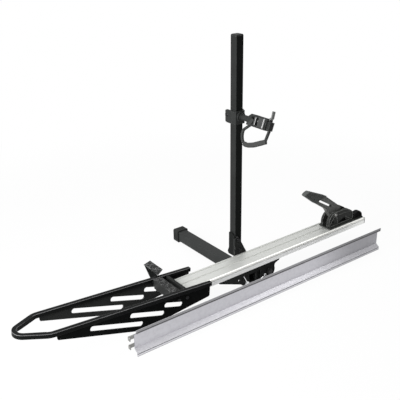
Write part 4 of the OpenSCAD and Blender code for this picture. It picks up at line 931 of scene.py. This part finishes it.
def buildRailPlugs(s):
    bm = bmesh.new()
    front, half, (wide, thin) = -s["start"] + s["proud"], s["half"], s["bar"]
    for y in (-s["side"], s["side"]):
        low, high = s["z"] - half, s["z"] + half
        softBox(bm, (-s["start"], y - half, low), (front, y + half, high), s["round"], inCradle, segments=3)
        for z in (s["z"] - s["pitch"], s["z"], s["z"] + s["pitch"]):
            ends = (front - 0.4, y - wide, z - thin), (front + 0.5, y + wide, z + thin)
            softBox(bm, *ends, s["barRound"], inCradle)
    newPiece("railPlug", bm, capPlastic, "tilt_frame")


buildRailPlugs(plugSettings)
print("rail plugs made")

# wheel tray: screws through the end cap, clamp plates under the bolts

traySettings = {
    "right": 753, "screwZ": 62, "screwY": (-117.55, -40.25), "cross": (2.1, 0.35, 1.7, 2.2),
    "screw": [(4.4, 0), (4.4, 0.5), (3.9, 1.3), (2.9, 1.9), (1.4, 2.1)],
    "plateX": (-160, -70, 60, 130), "plateZ": (52.85, 56.5), "middle": -78.9, "half": (15, 8.4),
    "crossRound": 0.1, "plateRound": 0.6,
}


def buildTrayTrim(s):
    bm = bmesh.new()
    wide, thin, low, high = s["cross"]
    for y in s["screwY"]:
        place = along(s["right"], y, s["screwZ"], (1, 0, 0))
        loft(bm, turnedRings(s["screw"], 32), place)
        for turn in (0, pi / 2):
            cross = place @ Matrix.Rotation(turn, 4, "Z")
            softBox(bm, (-wide, -thin, low), (wide, thin, high), s["crossRound"], cross, segments=1)
    newPiece("trayScrew", bm, blackZinc, "tilt_frame")
    bm = bmesh.new()
    y, (dx, dy), (low, high) = s["middle"], s["half"], s["plateZ"]
    for x in s["plateX"]:
        softBox(bm, (x - dx, y - dy, low), (x + dx, y + dy, high), s["plateRound"])
    newPiece("slotPlate", bm, zincPlate, "tilt_frame")


buildTrayTrim(traySettings)
print("tray trim made")

# mast: plug with a rounded top, rows of (half width, height, corner) for its head and its stem

mastSettings = {
    "top": 1062, "stem": ((15.5, -15, 2), (16.4, -12, 2), (16.4, 0.2, 2)),
    "head": ((19.0, 0.0, 3.5), (19.0, 2.2, 4.0), (18.4, 3.8, 5.0), (16.9, 5.2, 6.0), (14.0, 5.9, 6.0),
             (9.0, 6.0, 5.0)),
}


def buildMastCap(s):
    bm = bmesh.new()
    for rows in (s["head"], s["stem"]):
        rings = [[(x, y, z + s["top"]) for x, y in roundSquare(half, r, 8)] for half, z, r in rows]
        loft(bm, rings, rowPlace)
    newPiece("mastPlug", bm, capPlastic, "tilt_frame", "mast_cap")


buildMastCap(mastSettings)
print("mast plug made")

# frame clamp: ribs and bolt of the collar, index ring of the arm

collarSettings = {
    "out": 25.45, "rows": (703, 749), "ear": 46, "rib": 1.0, "bolt": (33, 731), "boss": 10.5, "ring": 0.9,
    "fin": 20.3, "finRib": 1.3, "fins": (45, 135, 225, 315), "arm": 731,
    "grip": 12.0, "gripRib": 0.8, "gripY": (-44, -53.5, -63, -72.5),
    "teeth": 8, "tooth": 15.1, "toothRib": 1.1, "toothY": (-34.2, -38.6),
    "stud": [(6.5, 0.0), (6.5, 0.9), (5.6, 1.9), (3.6, 2.4)], "socket": ((5.2, 2.4), (5.0, 0.6)),
}


def buildCollarTrim(s):
    bm = bmesh.new()
    out, arm = s["out"], s["arm"]
    for z in s["rows"]:
        for side in (-out, out):
            rib(bm, [(side, -out + 6, z), (side, s["ear"] - 7, z)], s["rib"], reach=5)
        rib(bm, [(-out + 6, -out, z), (out - 6, -out, z)], s["rib"])
    # raised ring round the clamp bolt
    y, z = s["bolt"]
    for side in (-out, out):
        ring = [(side, y + s["boss"] * cos(a), z + s["boss"] * sin(a)) for a in fullTurn(40)]
        sweep(bm, ring, s["ring"], steps=8)
    # stiffening fins between the collar and the arm's boss
    for turn in s["fins"]:
        x, z = s["fin"] * cos(radians(turn)), s["fin"] * sin(radians(turn))
        line = [(x * 1.02, -out, arm + z * 1.02), (x * 0.99, -out - 7.5, arm + z * 0.99)]
        rib(bm, line, s["finRib"], step=2)
    newPiece("collarTrim", bm, clampPlastic, "mast_slider")
    bm = bmesh.new()
    for y in s["gripY"]:
        sweep(bm, circlePath(0, arm, s["grip"], y), s["gripRib"], steps=8)
    for a in fullTurn(s["teeth"])[:-1]:
        x, z = s["tooth"] * cos(a), arm + s["tooth"] * sin(a)
        rib(bm, [(x, y, z) for y in s["toothY"]], s["toothRib"], step=1.5)
    newPiece("armTrim", bm, clampPlastic, "mast_slider")
    bm = bmesh.new()
    y, z = s["bolt"]
    rings = turnedRings(s["stud"], 40) + [hexRing(across, height, 40) for across, height in s["socket"]]
    loft(bm, rings, along(-out + 2.5, y, z, (-1, 0, 0)))
    threadedRod(bm, along(-out + 1, y, z, (1, 0, 0)), 8, 0, out + 3, 2 * out + 25, 1.25)
    newPiece("clampStud", bm, blackZinc, "mast_slider", "clamp_bolt")


buildCollarTrim(collarSettings)
print("collar made")

# star knob with six lobes, a domed face and a hub: hub and lobes are rows of (size, height)

knobSettings = {
    "place": (37.45, 33, 731), "length": 26, "root": 11.2, "lobe": 14.0, "lobes": 6, "bore": 4.1,
    "foot": -11.6, "steps": 96, "hub": [(8.4, -11.6), (9, -11), (9, -1.5)],
    "low": [(0.8, 0), (0.96, 1.2), (1, 3.0)], "high": [(1, 6), (0.96, 3.6), (0.86, 1.6), (0.70, 0.4)],
    "dish": [(7.4, 0), (7.0, 0.8), (4.1, 0.8)],
}


def buildKnob(s):
    whole = s["length"]

    def star(scale, z):
        ring = []
        for i in range(s["steps"]):
            a = 2 * pi * i / s["steps"]
            swell = (0.5 + 0.5 * cos(s["lobes"] * a)) ** 0.7
            r = (s["root"] + (s["lobe"] - s["root"]) * swell) * scale
            ring.append((r * cos(a), r * sin(a), z))
        return ring
    rings = turnedRings([(s["bore"], s["foot"])] + s["hub"], s["steps"])
    rings += [star(size, z) for size, z in s["low"]]
    rings += [star(size, whole - back) for size, back in s["high"]]
    rings += turnedRings([(r, whole - back) for r, back in s["dish"]], s["steps"])
    rings += turnedRings([(s["bore"], 0), (s["bore"], s["foot"])], s["steps"])
    bm = bmesh.new()
    loft(bm, rings, along(*s["place"], (1, 0, 0)), capped=False)
    newPiece("starKnob", bm, clampPlastic, "clamp_knob", "clamp_knob")


buildKnob(knobSettings)
print("knob made")

# buckle head: half-round bar and raised panel in its face, ribs beyond them and heads of its pins

buckleSettings = {
    "face": -16, "low": -15.5, "high": 19.5, "bar": (-124.0, -137.0), "barRound": 0.7, "bulge": 3.4,
    "panel": (-149.5, -183.5), "panelRound": 1.0, "rimZ": (-19.1, 22.9), "rim": 1.2,
    "swell": [(-0.6, 0.3), (-1.6, 2), (-2.4, 8), (-2.9, 15), (-3.1, 22), (-2.7, 27), (-1.7, 31)],
    "rows": (-187.2, -190.8, -194.4), "teeth": (-12.5, 8.6), "pinOut": 15.9,
    "pins": ((-1, -186.5, 8), (1, -186.5, 8), (1, -152.5, 12)), "pinHead": (4.3, 1.9),
}


def roundHead(bm, place, r, height):
    profile = [(r, -0.4), (r, height * 0.25), (r * 0.86, height * 0.7), (r * 0.55, height * 0.94),
               (r * 0.2, height)]
    loft(bm, turnedRings(profile, 28), place)


def buildBuckleFace(s):
    face, low, high = s["face"], s["low"], s["high"]
    y0, y1 = s["bar"]
    turns = [radians(a) for a in range(12, 169, 12)]
    arc = [(face + 0.4 - s["bulge"] * sin(a), (y0 + y1) / 2 + (y0 - y1) / 2 * cos(a)) for a in turns]
    outline = [(face + 3.5, y0), (face + 0.6, y0 - 0.2), *arc, (face + 0.6, y1 + 0.2), (face + 3.5, y1)]
    bar = bmesh.new()
    prism(bar, outline, low + 1, high - 1, inHead, s["barRound"], "xy")
    newPiece("buckleBar", bar, glossNylon, "buckle_head")
    y0, y1 = s["panel"]
    outline = [(face + 3, y0)] + [(face + x, y0 - back) for x, back in s["swell"]]
    outline += [(face - 0.2, y1 + 0.6), (face + 3, y1)]
    panel = bmesh.new()
    prism(panel, outline, low - 2, high + 2, inHead, s["panelRound"], "xy", 3)
    newPiece("bucklePanel", panel, glossNylon, "buckle_head")
    trim = bmesh.new()
    for z in s["rimZ"]:
        rib(trim, [(face, -103, z), (face, -194, z)], s["rim"], inHead, step=4, reach=5)
    for y in s["rows"]:
        softBox(trim, (face - 1.1, y - 1.0, low), (face + 0.5, y + 1.0, high), 0.5, inHead)
    for k in range(4):
        z = s["teeth"][0] + k * s["teeth"][1]
        softBox(trim, (-7, -215.9, z - 1.4), (7, -214.9, z + 1.4), 0.6, inHead)
        softBox(trim, (-11.6, -213, z - 1.2), (-10.6, -201, z + 1.2), 0.5, inHead)
    newPiece("buckleTrim", trim, clampPlastic, "buckle_head")
    pins = bmesh.new()
    for side, y, z in s["pins"]:
        head = shifted(inHead, side * s["pinOut"], y, z)
        roundHead(pins, head @ Matrix.Rotation(side * pi / 2, 4, "Y"), *s["pinHead"])
    newPiece("pinHead", pins, blackZinc, "buckle_head")


buildBuckleFace(buckleSettings)
print("buckle face made")

# strap: lips along its outer side, ribs across the pad, and its tongue under the buckle

strapSettings = {
    "loop": [(-94.5, -22.5), (-64.5, -48), (-66.5, -70), (-80.5, -95), (-106.5, -104), (-146.5, -93),
             (-204.5, -66), (-210.5, -18.5)],
    "radii": (18, 50, 36, 40, 100, 16), "thick": 7.5, "pad": 18, "half": 5.5, "face": -16,
    "padFrom": (-94, -99.6), "padTo": (-196, -70), "lip": 0.7, "padLip": 0.9, "padRib": 0.7,
    "tongue": [(-96, -20), (-112, -21), (-118, -12), (-123.5, 3), (-121, 7.5), (-111, 8), (-104, -4)],
}


def roundedLine(points, radii, step=4.0, least=0.6):
    made = [Vector(points[0])]
    for before, corner, after, r in zip(points, points[1:], points[2:], radii):
        a, b, c = Vector(before), Vector(corner), Vector(after)
        ahead, back = (c - b).normalized(), (a - b).normalized()
        cut = min(r / tan(ahead.angle(back) / 2), (a - b).length * 0.48, (c - b).length * 0.48)
        start, end = b + back * cut, b + ahead * cut
        shares = [k / 8 for k in range(9)]
        made += [start * (1 - t) ** 2 + b * 2 * t * (1 - t) + end * t * t for t in shares]
    made.append(Vector(points[-1]))
    line = [made[0]]
    for p in made[1:]:
        gap = (p - line[-1]).length
        if gap > step:
            count = int(gap / step) + 1
            line += [line[-1].lerp(p, (k + 1) / count) for k in range(count)]
        elif gap > least:
            line.append(p)
    return line


def besideLine(line, aside):
    made = []
    for i, p in enumerate(line):
        ahead = (line[min(i + 1, len(line) - 1)] - line[max(i - 1, 0)]).normalized()
        made.append(p + Vector((-ahead.y, ahead.x)) * aside)
    return made


def buildStrapTrim(s):
    line = roundedLine(s["loop"], s["radii"])
    half, edge = s["half"], s["half"] - 0.6
    lips = bmesh.new()
    for aside in (-s["thick"] / 2, s["thick"] / 2):
        for x in (-half + 1.2, 0, half - 1.2):
            path = [(x, p.x, p.y) for p in besideLine(line, aside)[2:-3]]
            rib(lips, path, s["lip"], inHead, step=None, reach=6, least=0.2, steps=6)
    newPiece("strapLip", lips, strapRubber, "buckle_head")
    ribs = bmesh.new()
    start, end = [min(range(len(line)), key=lambda i: (line[i] - Vector(spot)).length)
                  for spot in (s["padFrom"], s["padTo"])]
    for aside in (-s["pad"] / 2 + 0.2, s["pad"] / 2 - 0.2):
        run = besideLine(line, aside)[start + 1:end - 1]
        for x in (-edge, edge):
            rib(ribs, [(x, p.x, p.y) for p in run], s["padLip"], inHead, step=None, reach=6, steps=6)
        for p in run[::2]:
            rib(ribs, [(-edge, p.x, p.y), (edge, p.x, p.y)], s["padRib"], inHead, step=2, steps=6)
    newPiece("padRib", ribs, padRubber, "buckle_head")
    tongue = bmesh.new()
    prism(tongue, s["tongue"], s["face"] - 2, s["face"] + 0.5, inHead, 0.8, "yz", 3)
    newPiece("strapTongue", tongue, strapRubber, "buckle_head")


buildStrapTrim(strapSettings)
print("strap trim made")

# wheel clamp: bolt, rims of its cheeks in a lighter plastic as painted highlight, near-black sheets of
# painted shade in their recesses, screws, and ribs of its end block

wheelClampSettings = {
    "x": 555, "z": 143, "near": -104.9, "far": -52.9, "drum": (562, 106), "r": 50.4, "foot": 84.5,
    "boltHead": (7.6, 2.2), "hex": (12, 4), "nut": (16, 6.4, 10.1), "boss": 12.5, "bossRib": 1.5,
    "rimRib": 1.6, "strutRib": 1.4, "floor": (4.2, 4.9), "screw": (4.6, 2.4), "spokeRib": 1.5,
    "top": [(60, 12.5), (78, 9.5), (108, -4.5), (130.5, -22)], "ends": (130.5, -38),
    "struts": (((14, -6), (104, -8)), ((10, -9), (22, -50)), ((-10, -10), (-38, -50)),
               ((72, -26), (112, -50))),
    "recesses": ([(18, -51), (68, -30), (86, -53)], [(-30, -36), (-8, -24), (-12, -40)]), "inset": 0.01,
    "screws": ((737, -52), (737, -82), (521, -49), (521, -109.5), (668, -49)),
    "block": (717, 84.5), "spokes": (30, 60, 90, 120), "spokeY": -108.4, "spoke": (8, 29.5),
    "rims": [(-111.9, 1.3, 32.6, 3, 137)] + [(y, 0.9, 34.7, 6, 132) for y in (-107, -101, -95)],
}


def buildWheelClamp(s):
    x, z, near, far = s["x"], s["z"], s["near"], s["far"]
    bolt = bmesh.new()
    roundHead(bolt, along(x, near, z, (0, -1, 0)), *s["boltHead"])
    hexBlock(bolt, along(x, near - 1.8, z, (0, -1, 0)), *s["hex"])
    threadedRod(bolt, along(x, near, z, (0, 1, 0)), 10, 0, 50, far - near + 9.5, 1.5)
    washer(bolt, along(x, far, z, (0, 1, 0)), 5, 9, 1.2)
    nutWithCollar(bolt, along(x, far + 1.2, z, (0, 1, 0)), *s["nut"])
    newPiece("leverBolt", bolt, boltSteel, "wheel_clamp", "lever_bolt")
    # the rims, boss rings and struts on the cheeks are lighter, as painted highlight
    rims = bmesh.new()
    line = arcPoints(*s["drum"], s["r"], 200, 92, 24) + [(x + p, z + q) for p, q in s["top"]]
    line += [(x + p, s["foot"] + 3) for p in s["ends"]]
    for y in (near, far):
        rib(rims, [(p, y, q) for p, q in line + [line[0]]], s["rimRib"])
        sweep(rims, circlePath(x, z, s["boss"], y), s["bossRib"], steps=8)
        for strut in s["struts"]:
            rib(rims, [(x + p, y, z + q) for p, q in strut], s["strutRib"], reach=5)
    newPiece("cheekRib", rims, ribHighlightPlastic, "wheel_clamp")
    # painted shade: near-black sheets inside the cheeks' recesses, front and back
    shadeSheets = bmesh.new()
    front, back = s["floor"]
    for shape in s["recesses"]:
        mx, mz = [sum(p[i] for p in shape) / 3 for i in (0, 1)]
        inset = [(x + p + (mx - p) * s["inset"], z + q + (mz - q) * s["inset"]) for p, q in shape]
        prism(shadeSheets, inset, near + front, near + back)
        prism(shadeSheets, inset, far - back, far - front)
    newPiece("recessShadeSheet", shadeSheets, recessPaintedShade, "wheel_clamp")
    screws = bmesh.new()
    for sx, sy in s["screws"]:
        roundHead(screws, along(sx, sy, s["foot"], (0, 0, 1)), *s["screw"])
    newPiece("footScrew", screws, blackZinc, "wheel_clamp")
    ribs = bmesh.new()
    bx, bz = s["block"]
    for turn in s["spokes"]:
        a = radians(turn)
        rib(ribs, [(bx + r * cos(a), s["spokeY"], bz + r * sin(a)) for r in s["spoke"]], s["spokeRib"])
    for y, radius, r, start, end in s["rims"]:
        path = [(p, y, q) for p, q in arcPoints(bx, bz, r, start, end, 26)]
        rib(ribs, path, radius, step=None, reach=5)
    newPiece("endBlockRib", ribs, blockPlastic, "wheel_clamp")


buildWheelClamp(wheelClampSettings)

# lever: raised rims on its two faces, ribs across the grip and a moulding seam round it

leverSettings = {
    "half": 11, "rim": 1.3, "grip": 13, "ribs": 7, "share": 0.12, "ribHalf": 8.5, "rib": 1.2, "seam": 0.9,
    "rims": ([(-112, 43.6), (-60, 45.8), (-22, 46.9)],
             [(-147, 11.5), (-153.5, -8), (-110, -4), (-70, 0.2), (-32, -7)]),
    "edges": (((-116, 50), (-243, 15)), ((-160, -12.6), (-258, -15.7))),
    "seams": (((-126, 39.5), (-240, 8.5)), ((-132, 31), (-246, 0)), ((-166, 1), (-250, -8))),
}


def buildLeverTrim(s):
    rims = bmesh.new()
    for loop in s["rims"]:
        for y in (-s["half"], s["half"]):
            path = smoothPath([(p, y, q) for p, q in loop])
            rib(rims, path, s["rim"], inLever, step=None, reach=5)
    newPiece("leverRim", rims, leverPlastic, "clamp_lever")
    ribs = bmesh.new()
    for k in range(s["ribs"]):
        for start, end in s["edges"]:
            p = Vector(start).lerp(Vector(end), s["share"] + s["share"] * k)
            line = [(p.x, -s["ribHalf"], p.y), (p.x, s["ribHalf"], p.y)]
            rib(ribs, line, s["rib"], inLever, step=2, reach=4)
    for y in (-s["grip"], s["grip"]):
        for seam in s["seams"]:
            rib(ribs, [(p, y, q) for p, q in seam], s["seam"], inLever, step=4, reach=6, steps=6)
    newPiece("gripRib", ribs, gripRubber, "clamp_lever")


buildLeverTrim(leverSettings)
print("wheel clamp trimmed")

# ramp: one drawn section with grooved rims, and the rivet heads on the hooks' far side

rampSettings = {
    "length": 1410, "floor": 32, "inner": 30.8, "knee": 45, "front": 21, "back": 18, "half": 59,
    "grooveLow": 46.5, "grooveHigh": 49.5, "groove": 1.2, "strip": 57, "round": 0.35,
    "rivets": [(x, z) for z in (-16, 22) for x in (12, 30)], "rivetHead": (4.5, 2.2),
}


def buildRampSection(s):
    front, back, knee, half = -s["front"], -s["back"], s["knee"], s["half"]
    low, high, deep = s["grooveLow"], s["grooveHigh"], front + s["groove"]
    side = [(0, s["floor"]), (back, knee), (back, half), (front, half), (front, s["strip"]), (front, high),
            (deep, high), (deep, low), (front, low), (front, knee - 1.35), (-3, s["inner"])]
    bm = bmesh.new()
    prism(bm, side + [(y, -z) for y, z in reversed(side)], 0, s["length"], inRamp, s["round"], "yz")
    piece = newPiece("rampSection", bm, rampAlloy, "ramp", "ramp_channel", "ramp_sides")
    toRamp = inRamp.inverted()

    # slots for lit and shaded copies of the finish on the web, flange, rim, edge and groove: painted light
    # and shade
    def slotFor(face):
        place = toRamp @ face.center / mm
        outside = place.y < back - 0.5
        if low < abs(place.z) < high and outside and place.y > front + 0.4:
            return 4
        if abs(place.z) > knee - 1.6 and outside:
            return 3 if place.z > knee or place.z < -s["strip"] else 2
        return 1 if place.z < -s["inner"] and place.y < -3 else 0
    finishFaces(piece, (rampFlangeShaded, rampRimLit, rampEdgeShaded, rampGrooveShaded), slotFor)
    rivets = bmesh.new()
    for x, z in s["rivets"]:
        place = shifted(inRamp, x, 4, z) @ Matrix.Rotation(-pi / 2, 4, "X")
        roundHead(rivets, place, *s["rivetHead"])
    newPiece("rampRivet", rivets, zincPlate, "ramp", "ramp_rivets")


buildRampSection(rampSettings)
print("ramp trimmed")

# floor, world and lamps

studio = {
    "floorSize": 26.0,
    "floorTone": 0.5,
    "floorSeen": 0.035,
    "floorGlow": 0.945,
    "fadeFrom": 1.2,
    "fadeTo": 2.6,
    "ambient": 0.12,
    "key": {"place": (-2.9, -0.9, 1.5), "aim": (0.0, -0.45, 0.25), "size": 1.8, "power": 190},
    "top": {"place": (0.3, 0.2, 3.2), "aim": (0.1, -0.45, 0.1), "size": 2.4, "power": 70},
    "glint": {"place": (1.9, -1.8, 2.5), "aim": (0.1, -0.45, 0.2), "size": 0.8, "power": 14},
}
white = (1, 1, 1, 1)


# whether a ray meets the background straight, by reflection or through glass
def seenDirectly(tree):
    light = addNode(tree, "ShaderNodeLightPath").node.outputs
    first = math(tree, "MAXIMUM", light["Is Camera Ray"], light["Is Glossy Ray"])
    return math(tree, "MAXIMUM", first, light["Is Transmission Ray"])


def paleFloor(s, low):
    look = bpy.data.materials.new("paleFloor")
    tree = freshTree(look)
    matt = addNode(tree, "ShaderNodeBsdfDiffuse", {"Color": grey(s["floorTone"])})
    shade = addNode(tree, "ShaderNodeBsdfDiffuse", {"Color": grey(s["floorSeen"])})
    glow = addNode(tree, "ShaderNodeEmission", {"Color": white, "Strength": s["floorGlow"]})
    near = addNode(tree, "ShaderNodeAddShader", {0: shade, 1: glow})
    # away from the rack the floor turns into the white background
    ends = {0: objectPlace(tree), 1: (0, -0.45, low)}
    away = addNode(tree, "ShaderNodeVectorMath", ends, "Value", operation="DISTANCE")
    far = addNode(tree, "ShaderNodeEmission", {"Color": white, "Strength": 1.0})
    fade = ramp(tree, away, s["fadeFrom"], s["fadeTo"])
    spread = addNode(tree, "ShaderNodeMixShader", {0: fade, 1: near, 2: far})
    pick = addNode(tree, "ShaderNodeMixShader", {0: seenDirectly(tree), 1: matt, 2: spread})
    addNode(tree, "ShaderNodeOutputMaterial", {"Surface": pick})
    return look


def buildFloor(s):
    bm = bmesh.new()
    bmesh.ops.create_grid(bm, x_segments=2, y_segments=2, size=s["floorSize"] / 2)
    bmesh.ops.translate(bm, verts=bm.verts, vec=(0, -0.4, cadLow.z - 0.0005))
    mesh = bpy.data.meshes.new("studioFloor")
    bm.to_mesh(mesh)
    bm.free()
    mesh.materials.append(paleFloor(s, cadLow.z))
    floor = bpy.data.objects.new("studioFloor", mesh)
    bpy.context.scene.collection.objects.link(floor)


def buildWorld(s):
    world = bpy.data.worlds.new("studio")
    bpy.context.scene.world = world
    tree = freshTree(world)
    soft = addNode(tree, "ShaderNodeBackground", {"Color": white, "Strength": s["ambient"]})
    plain = addNode(tree, "ShaderNodeBackground", {"Color": white, "Strength": 1.0})
    pick = addNode(tree, "ShaderNodeMixShader", {0: seenDirectly(tree), 1: soft, 2: plain})
    addNode(tree, "ShaderNodeOutputWorld", {"Surface": pick})


def addSoftbox(name, s):
    lamp = bpy.data.lights.new(name, "AREA")
    lamp.shape = "SQUARE"
    lamp.size = s["size"]
    lamp.energy = s["power"]
    obj = bpy.data.objects.new(name, lamp)
    obj.location = s["place"]
    toward = Vector(s["aim"]) - Vector(s["place"])
    obj.rotation_mode = "QUATERNION"
    obj.rotation_quaternion = toward.to_track_quat("-Z", "Y")
    bpy.context.scene.collection.objects.link(obj)


buildFloor(studio)
buildWorld(studio)
for name in ("key", "top", "glint"):
    addSoftbox(name + "Softbox", studio[name])
bpy.context.scene.view_settings.view_transform = "Standard"
print("studio ready")
